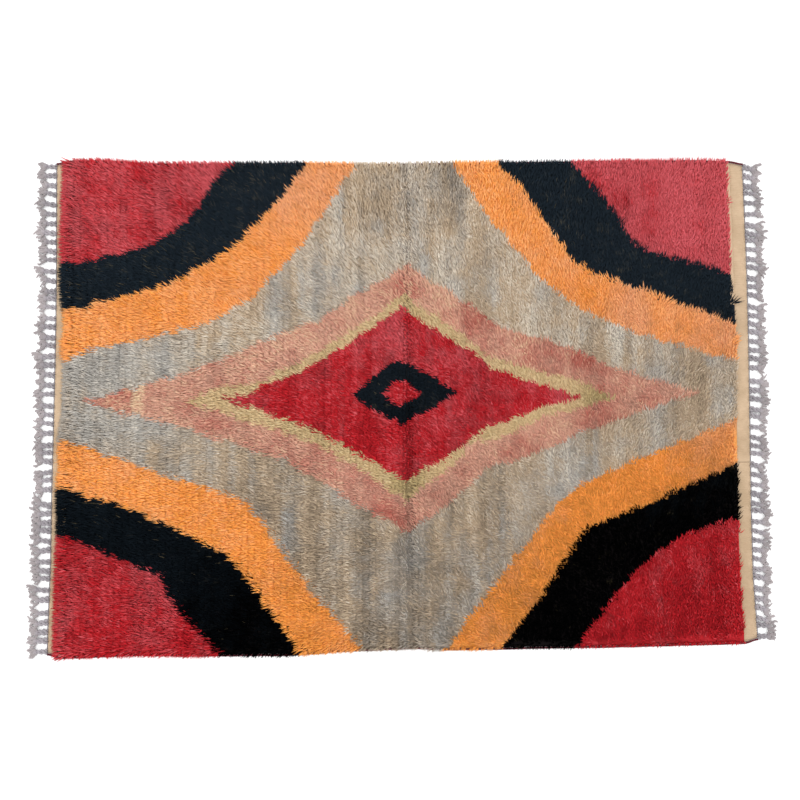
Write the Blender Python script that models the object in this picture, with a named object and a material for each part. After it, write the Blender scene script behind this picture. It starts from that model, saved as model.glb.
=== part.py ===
"""Hand-knotted wool rug, lying flat: the pile, two plain end bands, two selvedges and two fringes.

The floor is z = 0. +X runs along the rug's length and +Y across it, towards the back edge.
Every piece is drawn on the flat cloth, u along the length and v across the width, and on_cloth
moves it to where the uneven cloth really lies. Sizes are in metres.
"""

import math
import random
from collections import namedtuple

import bmesh
import bpy

# The cloth, from the outer edge of one end band to the other, and over both selvedges.
CLOTH_LENGTH = 2.500
CLOTH_WIDTH = 1.753
HALF_LENGTH = CLOTH_LENGTH / 2
HALF_WIDTH = CLOTH_WIDTH / 2
CLEARANCE = 0.0004

# How far the lying edges stray from straight: place along the edge, shift in +X or +Y.
Shift = namedtuple("Shift", "at by")
BACK_EDGE = (
    Shift(at=-1.25, by=-0.004),
    Shift(at=-1.09, by=-0.003),
    Shift(at=-0.78, by=-0.020),
    Shift(at=-0.38, by=-0.013),
    Shift(at=-0.10, by=-0.022),
    Shift(at=0.35, by=-0.011),
    Shift(at=0.86, by=-0.001),
    Shift(at=1.25, by=0.000),
)
FRONT_EDGE = (
    Shift(at=-1.25, by=0.002),
    Shift(at=-0.93, by=0.003),
    Shift(at=-0.42, by=-0.010),
    Shift(at=0.10, by=0.001),
    Shift(at=0.40, by=0.005),
    Shift(at=0.70, by=0.001),
    Shift(at=1.25, by=0.004),
)
LEFT_EDGE = (
    Shift(at=-0.88, by=-0.005),
    Shift(at=-0.50, by=0.002),
    Shift(at=0.37, by=0.009),
    Shift(at=0.88, by=0.005),
)
RIGHT_EDGE = (
    Shift(at=-0.88, by=-0.004),
    Shift(at=-0.62, by=-0.012),
    Shift(at=0.47, by=0.003),
    Shift(at=0.88, by=0.001),
)

# Plain woven band across each end.
BAND_WIDTH = 0.048
BAND_HEIGHT = 0.003

# Wrapped selvedge cord along each long edge, a flat-bottomed hexagon in section.
SELVEDGE_WIDTH = 0.0075
SELVEDGE_HEIGHT = 0.007
SELVEDGE_SIDES = 6

# The knotted field: a lumpy slab, with a lock of tufts leaning out of each cell of its rim.
PILE_HALF_LENGTH = HALF_LENGTH - BAND_WIDTH - CLEARANCE
PILE_HALF_WIDTH = HALF_WIDTH - SELVEDGE_WIDTH - CLEARANCE
PILE_HEIGHT = 0.0245
RIM_HEIGHT = 0.019
LOCK_FOOT = 0.010
SHOULDER = 0.014
CELL = 0.052
TUFT_UNEVENNESS = 0.0012
PILE_SEED = 11

# Long soft waves in the pile's height: wavelength, heading in degrees, phase, height.
Lump = namedtuple("Lump", "length heading phase height")
LUMPS = (
    Lump(length=0.62, heading=20, phase=0.4, height=0.0012),
    Lump(length=0.37, heading=115, phase=1.9, height=0.0010),
    Lump(length=0.23, heading=70, phase=3.1, height=0.0008),
)

# The old fold across the middle, a trough that fades towards both long edges.
FOLD_U = 0.004
FOLD_DEPTH = 0.010
FOLD_HALF_WIDTH = 0.022
FOLD_FADE = 0.7

# How the rim's locks lie on each side: outward way, reach, drift sideways, lowest point at the tip.
RimSide = namedtuple("RimSide", "name out_u out_v reach drift tip_foot")
RIM_SIDES = (
    RimSide(name="left", out_u=-1, out_v=0, reach=0.036, drift=-0.003, tip_foot=0.0045),
    RimSide(name="right", out_u=1, out_v=0, reach=0.007, drift=0.004, tip_foot=0.0085),
    RimSide(name="back", out_u=0, out_v=1, reach=0.014, drift=-0.007, tip_foot=0.0085),
    RimSide(name="front", out_u=0, out_v=-1, reach=0.011, drift=-0.005, tip_foot=0.0085),
)
LOCK_MIDDLE = 0.55
LOCK_MIDDLE_WIDTH = 0.76
LOCK_TIP_WIDTH = 0.34
LOCK_TIP_HEIGHT = 0.0035
LOCK_UNEVENNESS = 0.24

# Warp fringe: a strip along the band's edge, and one knotted bundle of warps for each pitch.
STRIP_WIDTH = 0.004
STRIP_HEIGHT = BAND_HEIGHT
BUNDLES = 51
BUNDLE_ROOT = 0.010
BUNDLE_JITTER = 0.0025
BUNDLE_LEAN = 0.10
BUNDLE_LEAN_JITTER = 0.05
BUNDLE_CURL_JITTER = 0.003
GAP_SPREAD = 0.010
GAP_REACH = 0.08

# A bundle from its root to its tail: reach, width, height, share of the sideways curl.
BundleSection = namedtuple("BundleSection", "reach width height curl")
BUNDLE_SECTIONS = (
    BundleSection(reach=0.028, width=0.010, height=0.006, curl=0.2),
    BundleSection(reach=0.042, width=0.015, height=0.009, curl=0.5),
    BundleSection(reach=0.072, width=0.008, height=0.004, curl=1.0),
)

# The two ends: way out, seed, and the places across the width where the bundles part.
RugEnd = namedtuple("RugEnd", "name out seed gaps")
RUG_ENDS = (
    RugEnd(name="left", out=-1, seed=3, gaps=(-0.33, -0.70)),
    RugEnd(name="right", out=1, seed=8, gaps=(0.69, 0.10)),
)


def eased(table, place):
    """The shift at a place along an edge, easing from each row of the table to the next."""
    place = min(max(place, table[0].at), table[-1].at)
    for before, after in zip(table, table[1:]):
        if place <= after.at:
            share = (place - before.at) / (after.at - before.at)
            share = share * share * (3 - 2 * share)
            return before.by + share * (after.by - before.by)
    return table[-1].by


def on_cloth(u, v, z):
    """Where a point of the flat cloth lies once the uneven edges have pulled it."""
    to_right = 0.5 + u / CLOTH_LENGTH
    to_back = 0.5 + v / CLOTH_WIDTH
    x = u + to_right * eased(RIGHT_EDGE, v) + (1 - to_right) * eased(LEFT_EDGE, v)
    y = v + to_back * eased(BACK_EDGE, u) + (1 - to_back) * eased(FRONT_EDGE, u)
    return x, y, z


def pile_height(u, v):
    """Height of the pile, with its long lumps and the trough of the old fold."""
    height = PILE_HEIGHT
    for lump in LUMPS:
        heading = math.radians(lump.heading)
        along = u * math.cos(heading) + v * math.sin(heading)
        height += lump.height * math.sin(math.tau * along / lump.length + lump.phase)
    trough = FOLD_DEPTH * math.exp(-(((u - FOLD_U) / FOLD_HALF_WIDTH) ** 2))
    return height - trough * (1 - FOLD_FADE * (v / HALF_WIDTH) ** 2)


def even_steps(start, end):
    """Places from start to end, as near to CELL apart as fits."""
    count = round((end - start) / CELL)
    return [start + (end - start) * i / count for i in range(count + 1)]


def pile_columns():
    """The u of each line of the pile's grid: both shoulders, even cells, and the fold's own lines."""
    inner = PILE_HALF_LENGTH - SHOULDER
    left = even_steps(-inner, FOLD_U - 2 * FOLD_HALF_WIDTH)
    fold = [FOLD_U - FOLD_HALF_WIDTH, FOLD_U, FOLD_U + FOLD_HALF_WIDTH]
    right = even_steps(FOLD_U + 2 * FOLD_HALF_WIDTH, inner)
    return [-PILE_HALF_LENGTH, *left, *fold, *right, PILE_HALF_LENGTH]


def pile_rows():
    """The v of each line of the pile's grid."""
    inner = PILE_HALF_WIDTH - SHOULDER
    return [-PILE_HALF_WIDTH, *even_steps(-inner, inner), PILE_HALF_WIDTH]


def linear_colour(hex_colour):
    """A colour written as sRGB hex, as the linear values that a material takes."""
    values = [int(hex_colour[i : i + 2], 16) / 255 for i in (1, 3, 5)]
    return [c / 12.92 if c <= 0.04045 else ((c + 0.055) / 1.055) ** 2.4 for c in values] + [1.0]


def wool(name, hex_colour, roughness):
    """A matt yarn."""
    material = bpy.data.materials.new(name)
    material.use_nodes = True
    shader = material.node_tree.nodes["Principled BSDF"]
    shader.inputs["Base Color"].default_value = linear_colour(hex_colour)
    shader.inputs["Roughness"].default_value = roughness
    shader.inputs["Metallic"].default_value = 0.0
    return material


def add_vertex(bm, u, v, z):
    """A vertex of the mesh, at a place of the flat cloth."""
    return bm.verts.new(on_cloth(u, v, z))


def join_rings(bm, ring, next_ring):
    """Quads from one ring of vertices to the next."""
    count = len(ring)
    for i in range(count):
        j = (i + 1) % count
        bm.faces.new((ring[i], ring[j], next_ring[j], next_ring[i]))


def upright_section(bm, u, v, across, width, low, high):
    """A four-cornered section that stands upright, across being the unit way over its width."""
    half_u = across[0] * width / 2
    half_v = across[1] * width / 2
    return [
        add_vertex(bm, u - half_u, v - half_v, low),
        add_vertex(bm, u + half_u, v + half_v, low),
        add_vertex(bm, u + half_u, v + half_v, high),
        add_vertex(bm, u - half_u, v - half_v, high),
    ]


def add_piece(name, bm, material):
    """Turns a mesh's faces outward and makes it an object of its own."""
    bmesh.ops.recalc_face_normals(bm, faces=bm.faces)
    bmesh.ops.triangulate(bm, faces=bm.faces, quad_method="BEAUTY", ngon_method="BEAUTY")
    mesh = bpy.data.meshes.new(name)
    bm.to_mesh(mesh)
    bm.free()
    mesh.shade_smooth()
    mesh.set_sharp_from_angle(angle=math.radians(50))
    mesh.materials.append(material)
    piece = bpy.data.objects.new(name, mesh)
    bpy.context.scene.collection.objects.link(piece)
    return piece


def rim_cells(columns, rows):
    """Each rim cell that grows a lock: its side, and its two ends in the order of the section."""
    for side in RIM_SIDES:
        lines = rows if side.out_u else columns
        for start, end in list(zip(lines, lines[1:]))[1:-1]:
            if side.out_u:
                edge = side.out_u * PILE_HALF_LENGTH
                yield side, (edge, start), (edge, end)
            else:
                edge = side.out_v * PILE_HALF_WIDTH
                yield side, (start, edge), (end, edge)


def grow_lock(bm, side, root, start, end, rng):
    """A tapering lock of tufts that leans out of one wall cell of the rim."""
    width = math.dist(start, end)
    across = ((end[0] - start[0]) / width, (end[1] - start[1]) / width)
    middle = ((start[0] + end[0]) / 2, (start[1] + end[1]) / 2)
    reach = side.reach * (1 + LOCK_UNEVENNESS * rng.uniform(-1, 1))
    drift = side.drift + width * LOCK_UNEVENNESS * 0.5 * rng.uniform(-1, 1)
    ring = root
    for share, wide, foot, top in (
        (LOCK_MIDDLE, LOCK_MIDDLE_WIDTH, (LOCK_FOOT + side.tip_foot) / 2, RIM_HEIGHT - 0.0015),
        (1.0, LOCK_TIP_WIDTH, side.tip_foot, side.tip_foot + LOCK_TIP_HEIGHT),
    ):
        u = middle[0] + side.out_u * reach * share + across[0] * drift * share
        v = middle[1] + side.out_v * reach * share + across[1] * drift * share
        next_ring = upright_section(bm, u, v, across, width * wide, foot, top)
        join_rings(bm, ring, next_ring)
        ring = next_ring
    bm.faces.new(ring)


def make_pile_field(material):
    """The knotted field as one closed slab: flat underside, upright foot, locks and lumpy top."""
    bm = bmesh.new()
    rng = random.Random(PILE_SEED)
    columns = pile_columns()
    rows = pile_rows()
    rim = {}
    top = {}
    for i, u in enumerate(columns):
        for j, v in enumerate(rows):
            on_rim = i in (0, len(columns) - 1) or j in (0, len(rows) - 1)
            if on_rim:
                rim[u, v] = (add_vertex(bm, u, v, 0.0), add_vertex(bm, u, v, LOCK_FOOT))
                top[u, v] = add_vertex(bm, u, v, RIM_HEIGHT)
            else:
                uneven = TUFT_UNEVENNESS * rng.uniform(-1, 1)
                top[u, v] = add_vertex(bm, u, v, pile_height(u, v) + uneven)
    for u, next_u in zip(columns, columns[1:]):
        for v, next_v in zip(rows, rows[1:]):
            bm.faces.new((top[u, v], top[next_u, v], top[next_u, next_v], top[u, next_v]))

    locks = {(start, end): side for side, start, end in rim_cells(columns, rows)}
    around = [(u, rows[0]) for u in columns]
    around += [(columns[-1], v) for v in rows[1:]]
    around += [(u, rows[-1]) for u in reversed(columns[:-1])]
    around += [(columns[0], v) for v in reversed(rows[1:-1])]
    bm.faces.new([rim[place][0] for place in around])
    for place, following in zip(around, around[1:] + around[:1]):
        start, end = sorted((place, following))
        low_start, foot_start = rim[start]
        low_end, foot_end = rim[end]
        bm.faces.new((low_start, low_end, foot_end, foot_start))
        wall = [foot_start, foot_end, top[end], top[start]]
        if (start, end) in locks:
            grow_lock(bm, locks[start, end], wall, start, end, rng)
        else:
            bm.faces.new(wall)
    return add_piece("pile_field", bm, material)


def make_end_band(end, material):
    """A plain woven band, from the pile's foot to the fringe and between the selvedges."""
    bm = bmesh.new()
    inner = end.out * (HALF_LENGTH - BAND_WIDTH)
    outer = end.out * HALF_LENGTH
    ring = None
    for v in pile_rows():
        next_ring = [
            add_vertex(bm, inner, v, 0.0),
            add_vertex(bm, outer, v, 0.0),
            add_vertex(bm, outer, v, BAND_HEIGHT),
            add_vertex(bm, inner, v, BAND_HEIGHT),
        ]
        if ring:
            join_rings(bm, ring, next_ring)
        else:
            bm.faces.new(next_ring)
        ring = next_ring
    bm.faces.new(ring)
    return add_piece(f"end_band_{end.name}", bm, material)


def make_selvedge(name, out, material):
    """A wrapped cord along a long edge, past the pile and both end bands."""
    bm = bmesh.new()
    middle = out * (HALF_WIDTH - SELVEDGE_WIDTH / 2)
    tallest = math.sin(math.radians(60))
    ring = None
    for u in (-HALF_LENGTH, *pile_columns(), HALF_LENGTH):
        next_ring = []
        for side in range(SELVEDGE_SIDES):
            turn = math.tau * side / SELVEDGE_SIDES
            v = middle + SELVEDGE_WIDTH / 2 * math.cos(turn)
            z = SELVEDGE_HEIGHT / 2 * (1 + math.sin(turn) / tallest)
            next_ring.append(add_vertex(bm, u, v, z))
        if ring:
            join_rings(bm, ring, next_ring)
        else:
            bm.faces.new(next_ring)
        ring = next_ring
    bm.faces.new(ring)
    return add_piece(f"selvedge_{name}", bm, material)


def bundle_places(end, rng):
    """The v of each bundle's root: an even pitch, a little jitter, and the few wider gaps."""
    pitch = CLOTH_WIDTH / BUNDLES
    places = []
    for i in range(BUNDLES):
        v = -HALF_WIDTH + pitch * (i + 0.5)
        for gap in end.gaps:
            away = (v - gap) / GAP_REACH
            v += math.copysign(GAP_SPREAD, away) * math.exp(-away * away)
        places.append(v + BUNDLE_JITTER * rng.uniform(-1, 1))
    return places


def bundle_lean(v, rng):
    """The slope sideways of a bundle, mostly shared with its neighbours."""
    shared = math.sin(math.tau * v / 0.23) + 0.6 * math.sin(math.tau * v / 0.61 + 1.0)
    return BUNDLE_LEAN * shared / 1.6 + BUNDLE_LEAN_JITTER * rng.uniform(-1, 1)


def make_fringe(end, material):
    """The strip of warp ends along the band, with the knotted bundles growing out of it."""
    bm = bmesh.new()
    rng = random.Random(end.seed)
    inner = end.out * (HALF_LENGTH + CLEARANCE)
    outer = inner + end.out * STRIP_WIDTH
    roots = bundle_places(end, rng)
    lines = [-HALF_WIDTH]
    for v in roots:
        lines += [v - BUNDLE_ROOT / 2, v + BUNDLE_ROOT / 2]
    lines.append(HALF_WIDTH)

    rings = []
    for v in lines:
        low_inner = add_vertex(bm, inner, v, 0.0)
        low_outer = add_vertex(bm, outer, v, 0.0)
        high_outer = add_vertex(bm, outer, v, STRIP_HEIGHT)
        high_inner = add_vertex(bm, inner, v, STRIP_HEIGHT)
        rings.append((low_inner, low_outer, high_outer, high_inner))
    bm.faces.new(rings[0])
    bm.faces.new(rings[-1])
    for cell, (before, after) in enumerate(zip(rings, rings[1:])):
        for side in (0, 2, 3):
            other = (side + 1) % 4
            bm.faces.new((before[side], before[other], after[other], after[side]))
        wall = [before[1], after[1], after[2], before[2]]
        if cell % 2 == 0:
            bm.faces.new(wall)
            continue
        v = roots[cell // 2]
        lean = bundle_lean(v, rng)
        curl = BUNDLE_CURL_JITTER * rng.uniform(-1, 1)
        ring = wall
        for section in BUNDLE_SECTIONS:
            u = outer + end.out * section.reach
            side_v = v + lean * section.reach + curl * section.curl
            next_ring = upright_section(
                bm, u, side_v, (0, 1), section.width, 0.0, section.height
            )
            join_rings(bm, ring, next_ring)
            ring = next_ring
        bm.faces.new(ring)
    return add_piece(f"fringe_{end.name}", bm, material)


def main():
    for existing in list(bpy.data.objects):
        bpy.data.objects.remove(existing, do_unlink=True)

    make_pile_field(wool("dyed_wool_pile", "#a83038", 0.95))
    band_weave = wool("undyed_wool_band", "#cdb292", 0.9)
    warp_yarn = wool("undyed_warp_fringe", "#b3aaa3", 0.92)
    selvedge_yarn = wool("maroon_wool_selvedge", "#5c1a22", 0.9)
    for end in RUG_ENDS:
        make_end_band(end, band_weave)
        make_fringe(end, warp_yarn)
    make_selvedge("front", -1, selvedge_yarn)
    make_selvedge("back", 1, selvedge_yarn)


main()
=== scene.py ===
"""Berber rug lying on the floor: the looks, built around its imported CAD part.

Everything is in metres in the part's own frame: the floor is z = 0, +X runs along the rug and +Y
across it, towards the back edge. A place on the rug is given on the flat cloth, u along it and v
across it, and on_cloth moves it to where the uneven cloth really lies.
"""

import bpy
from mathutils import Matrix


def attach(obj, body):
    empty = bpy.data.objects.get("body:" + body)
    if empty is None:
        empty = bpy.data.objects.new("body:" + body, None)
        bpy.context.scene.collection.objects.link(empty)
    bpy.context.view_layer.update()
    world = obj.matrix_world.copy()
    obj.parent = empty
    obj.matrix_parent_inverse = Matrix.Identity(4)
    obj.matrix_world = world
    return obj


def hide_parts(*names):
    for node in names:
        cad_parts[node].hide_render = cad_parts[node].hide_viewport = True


bl_info = {
    "name": "Hand-knotted Berber rug",
    "version": (1, 0, 0),
    "blender": (4, 5, 0),
    "location": "View3D > Sidebar > Rug",
    "description": "Ties the pile, weaves the end bands and selvedges and knots the fringe of a wool rug",
    "category": "Add Mesh",
}

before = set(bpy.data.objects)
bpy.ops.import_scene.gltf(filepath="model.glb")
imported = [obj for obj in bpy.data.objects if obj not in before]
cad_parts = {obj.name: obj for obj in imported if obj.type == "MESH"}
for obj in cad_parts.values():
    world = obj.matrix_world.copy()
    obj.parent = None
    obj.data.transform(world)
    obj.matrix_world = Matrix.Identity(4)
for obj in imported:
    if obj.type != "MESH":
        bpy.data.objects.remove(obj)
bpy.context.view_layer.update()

import math
import random
from collections import namedtuple
from functools import partial

import bmesh
import bpy
import numpy as np

BODY = "root"

# The flat cloth, with the same sizes as the CAD part.
CLOTH_LENGTH = 2.500
CLOTH_WIDTH = 1.753
HALF_LENGTH = CLOTH_LENGTH / 2
HALF_WIDTH = CLOTH_WIDTH / 2
CLEARANCE = 0.0004
BAND_WIDTH = 0.048
SELVEDGE_WIDTH = 0.0075
SELVEDGE_HEIGHT = 0.007
PILE_HALF_LENGTH = HALF_LENGTH - BAND_WIDTH - CLEARANCE
PILE_HALF_WIDTH = HALF_WIDTH - SELVEDGE_WIDTH - CLEARANCE
PILE_HEIGHT = 0.0245


def rows_of(kind, *rows):
    """Rows of sizes, each under the names of its kind."""
    return [kind(*row) for row in rows]


# How far the lying edges stray from straight: place along the edge, shift in +X or +Y.
Shift = namedtuple("Shift", "at by")
BACK_EDGE = rows_of(
    Shift,
    (-1.25, -0.014), (-1.19, -0.003), (-1.09, -0.003), (-0.90, -0.014), (-0.60, -0.013),
    (-0.38, -0.011), (-0.12, -0.014), (0.35, -0.007), (0.86, 0.002), (1.08, 0.003), (1.20, 0.000),
    (1.25, -0.009),
)
FRONT_EDGE = rows_of(
    Shift,
    (-1.25, 0.003), (-1.20, -0.010), (-0.96, -0.006), (-0.70, -0.012), (-0.42, -0.015), (-0.16, -0.004),
    (0.03, -0.001), (0.12, -0.008), (0.30, -0.009), (0.45, -0.008), (0.70, -0.010), (1.20, -0.007),
    (1.25, 0.006),
)
LEFT_EDGE = rows_of(Shift, (-0.88, -0.005), (-0.50, 0.002), (0.37, 0.009), (0.88, 0.005))
RIGHT_EDGE = rows_of(Shift, (-0.88, -0.004), (-0.62, -0.012), (0.47, 0.003), (0.88, 0.001))

# Long soft waves in the pile's height: wavelength, heading in degrees, phase, height.
Lump = namedtuple("Lump", "length heading phase height")
LUMPS = rows_of(Lump, (0.62, 20, 0.4, 0.0012), (0.37, 115, 1.9, 0.0010), (0.23, 70, 3.1, 0.0008))

# The old fold across the middle, a trough that fades towards both long edges.
FOLD_U = 0.004
FOLD_DEPTH = 0.010
FOLD_HALF_WIDTH = 0.022
FOLD_FADE = 0.7
# Painted light along it: how far to its right, half how wide, and how much lighter the wool is painted; a
# painted highlight on the ridge, painted shade in the crease and a painted shadow to its left.
FoldMark = namedtuple("FoldMark", "off half_width lighter")
RIDGE_HIGHLIGHT = FoldMark(0.045, 0.030, 0.05)
CREASE_SHADE = FoldMark(0.002, 0.009, -0.60)
SHADOW = FoldMark(-0.028, 0.030, -0.12)
# The locks that are worn short beside it, so that it stays open.
WORN_OFF = 0.012
WORN_HALF_WIDTH = 0.016
WORN_SHARE = 0.25

# The wools, painted in this order, each over the ones before it.
WOOLS = ("grey", "orange", "black", "red", "pink", "mustard")

# The three bands that curve round each corner, the outermost first. Each edge is one sweep, from
# side_v on the end of the rug to long_u on its long edge, with the angle and pull at both ends.
BandEdge = namedtuple("BandEdge", "wool to_u to_v side_v side_angle side_pull long_u long_angle long_pull")
BAND_EDGES = rows_of(
    BandEdge,
    ("orange", -1, 1, 0.16, 20, 0.45, 0.19, 30, 0.79),
    ("black", -1, 1, 0.335, 15, 0.45, 0.37, 35, 0.45),
    ("red", -1, 1, 0.50, 10, 0.50, 0.63, 50, 0.20),
    ("orange", 1, 1, 0.14, 15, 0.70, 0.17, 35, 0.65),
    ("black", 1, 1, 0.28, 20, 0.90, 0.35, 40, 0.65),
    ("red", 1, 1, 0.46, 15, 0.60, 0.61, 45, 0.50),
    ("orange", -1, -1, 0.13, 20, 0.95, 0.17, 40, 0.95),
    ("black", -1, -1, 0.29, 20, 0.80, 0.38, 40, 0.45),
    ("red", -1, -1, 0.46, 24, 0.72, 0.66, 45, 0.67),
    ("orange", 1, -1, 0.06, 23, 0.90, 0.12, 40, 0.95),
    ("black", 1, -1, 0.22, 25, 0.95, 0.32, 40, 0.85),
    ("red", 1, -1, 0.43, 5, 0.35, 0.58, 45, 0.25),
)

# The nested lozenges, the outermost first: four tips, and how far the sides are drawn in, along u
# at the left and at the right, and along v.
Lozenge = namedtuple("Lozenge", "wool left right back front draw_left draw_right draw_v")
LOZENGES = rows_of(
    Lozenge,
    ("pink", (-1.16, 0.01), (1.06, 0.03), (0.00, 0.51), (-0.01, -0.465), 0.31, 0.34, 0.38),
    ("mustard", (-0.79, 0.01), (0.755, 0.012), (-0.02, 0.40), (-0.01, -0.355), 0.46, 0.46, 0.26),
    ("red", (-0.67, 0.02), (0.64, 0.02), (-0.03, 0.345), (-0.01, -0.285), 0.60, 0.60, 0.14),
    ("black", (-0.205, 0.03), (0.17, 0.03), (-0.04, 0.16), (-0.02, -0.08), 0.55, 0.52, 0.54),
    ("red", (-0.09, 0.03), (0.04, 0.03), (-0.03, 0.08), (-0.04, -0.01), 0.60, 0.60, 0.60),
)

# Where the hand-knotted outlines swell (+) or draw in (-): the lozenge's number, the bearing from
# its middle and the spread in degrees, and how far.
Swell = namedtuple("Swell", "lozenge bearing spread by")
SWELLS = rows_of(
    Swell,
    (0, 18, 10, 0.015),
    (0, 38, 8, -0.016),
    (0, 116, 10, 0.022),
    (0, 158, 12, 0.022),
    (0, 203, 10, -0.015),
    (0, 242, 10, 0.022),
    (0, 318, 14, -0.030),
    (1, 5, 4, 0.035),
    (1, 24, 9, -0.022),
    (1, 35, 7, -0.016),
    (1, 102, 8, -0.010),
    (1, 171, 2.5, -0.030),
    (1, 177, 2.2, 0.050),
    (1, 186, 3, 0.030),
    (1, 212, 10, -0.015),
    (1, 286, 8, -0.012),
    (1, 326, 12, -0.055),
    (1, 352, 5, -0.025),
    (2, 16, 9, -0.026),
    (2, 186, 5, 0.018),
    (2, 302, 9, 0.009),
    (2, 341, 9, -0.026),
)

# How the nap lies: the way the locks lean in degrees, how upright they stand, how unruly they are,
# and their length as a share of the usual one.
Nap = namedtuple("Nap", "u v heading upright mess length")
NAPS = rows_of(
    Nap,
    (-1.02, 0.73, 160, 2, 0.15, 1.00),
    (-0.98, 0.45, 162, 0, 0.10, 1.05),
    (-1.08, 0.22, 176, 0, 0.10, 1.05),
    (-0.90, 0.02, 180, 0, 0.10, 1.05),
    (-1.05, -0.21, 178, 0, 0.10, 1.05),
    (-1.08, -0.53, 167, 0, 0.12, 1.05),
    (-0.98, -0.76, 160, 2, 0.15, 1.00),
    (-0.60, 0.60, 150, 2, 0.15, 1.05),
    (-0.55, 0.20, 165, 2, 0.12, 1.00),
    (-0.55, -0.25, 172, 2, 0.12, 1.00),
    (-0.55, -0.65, 165, 2, 0.15, 1.00),
    (-0.30, 0.78, 125, 8, 0.20, 0.95),
    (0.00, 0.72, 106, 10, 0.22, 0.92),
    (-0.25, 0.38, 145, 6, 0.15, 0.95),
    (0.00, 0.05, 160, 10, 0.18, 0.85),
    (-0.18, -0.66, 178, 4, 0.25, 0.95),
    (0.15, -0.66, 140, 8, 0.55, 0.95),
    (0.30, -0.30, 150, 8, 0.35, 0.92),
    (0.40, 0.38, 118, 14, 0.25, 0.90),
    (0.56, 0.73, 96, 16, 0.20, 0.88),
    (0.70, 0.05, 125, 16, 0.45, 0.88),
    (0.99, 0.73, 96, 18, 0.22, 0.86),
    (1.06, 0.38, 100, 18, 0.30, 0.88),
    (1.06, 0.03, 105, 18, 0.80, 0.88),
    (1.06, -0.32, 100, 18, 0.45, 0.88),
    (1.03, -0.68, 118, 16, 0.30, 0.86),
    (0.60, -0.68, 125, 12, 0.30, 0.90),
)
NAP_SPREAD = 0.20

# Tufts that stick out over the right end band.
Flare = namedtuple("Flare", "u v radius heading length")
FLARES = rows_of(
    Flare,
    (1.195, 0.345, 0.012, 12, 1.5),
    (1.190, 0.205, 0.020, 25, 0.9),
    (1.195, -0.185, 0.016, 35, 0.9),
    (1.190, 0.720, 0.012, 15, 0.7),
)

# Locks gather in soft tufts: how long and wide a tuft is, and how far the tips draw together.
TUFT_LENGTH = 0.024
TUFT_WIDTH = 0.016
TUFT_PULL = 0.32
TUFT_TONE = 0.045

# How the locks at each rim turn outward, how much longer and by how many degrees lower they lie,
# and how far their tips pass the edge of the pile field before they are shorn off, along the rim.
Rim = namedtuple("Rim", "heading share width longer lower overhangs")
RIMS = {
    "front": Rim(-90, 0.75, 0.014, 0.25, 3, rows_of(Shift, (-1.20, 0.0110), (1.20, 0.0090))),
    "back": Rim(
        90, 0.75, 0.016, 0.25, 3,
        rows_of(Shift, (-1.20, 0.0150), (-1.05, 0.0140), (0.95, 0.0150), (1.08, 0.0190)),
    ),
    "left": Rim(
        180, 0.80, 0.026, 0.60, 12,
        rows_of(
            Shift,
            (-0.85, 0.032), (-0.57, 0.035), (-0.40, 0.031), (-0.29, 0.037), (-0.22, 0.028),
            (-0.15, 0.034), (-0.01, 0.021), (0.13, 0.021), (0.20, 0.033), (0.28, 0.022), (0.42, 0.039),
            (0.60, 0.039), (0.68, 0.033), (0.85, 0.031),
        ),
    ),
    "right": Rim(
        0, 0.35, 0.010, 0.00, 2,
        rows_of(
            Shift,
            (-0.70, 0.025), (-0.48, 0.016), (-0.36, 0.010), (-0.17, -0.008), (0.00, 0.002),
            (0.10, 0.007), (0.38, -0.006), (0.46, -0.013), (0.80, -0.011),
        ),
    ),
}
# The first rows of knots are tied over the inner edge of the left end band.
LEFT_ROWS = 0.016
# How far knots keep inside the field's edge, and stray, as shares of their pitches.
RIM_MARGIN = 0.002
ROW_JITTER = 0.22
KNOT_JITTER = 0.28
# How far a lock's tip lies from its knot, and where on the way its colour is seen, as shares.
LOCK_REACH = 0.82
SEEN_AT = 0.72
# How far the shorn line of tips waves in and out, and the least that shearing leaves of a lock.
RIM_WAVES = 0.0015
SHORTEST = 0.15
# How high the knots sit, and how far the three locks of one knot start apart.
KNOT_HEIGHT = 0.0022
LOCKS_APART = 0.0024
# The highest that a lock's tip may stand above its knot.
HIGHEST_TIP = 0.0265
# How far a lock may lie over, in degrees, before its tip would reach the floor.
FLATTEST = -16.0
# How the nap swirls and nods, and how the locks of one knot fan out, in degrees: where it lies
# neatly, and how much more where it is a mess.
SWIRL, MESSY_SWIRL = 16, 95
NOD, MESSY_NOD = 4, 10
FAN, MESSY_FAN = 8, 16

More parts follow.
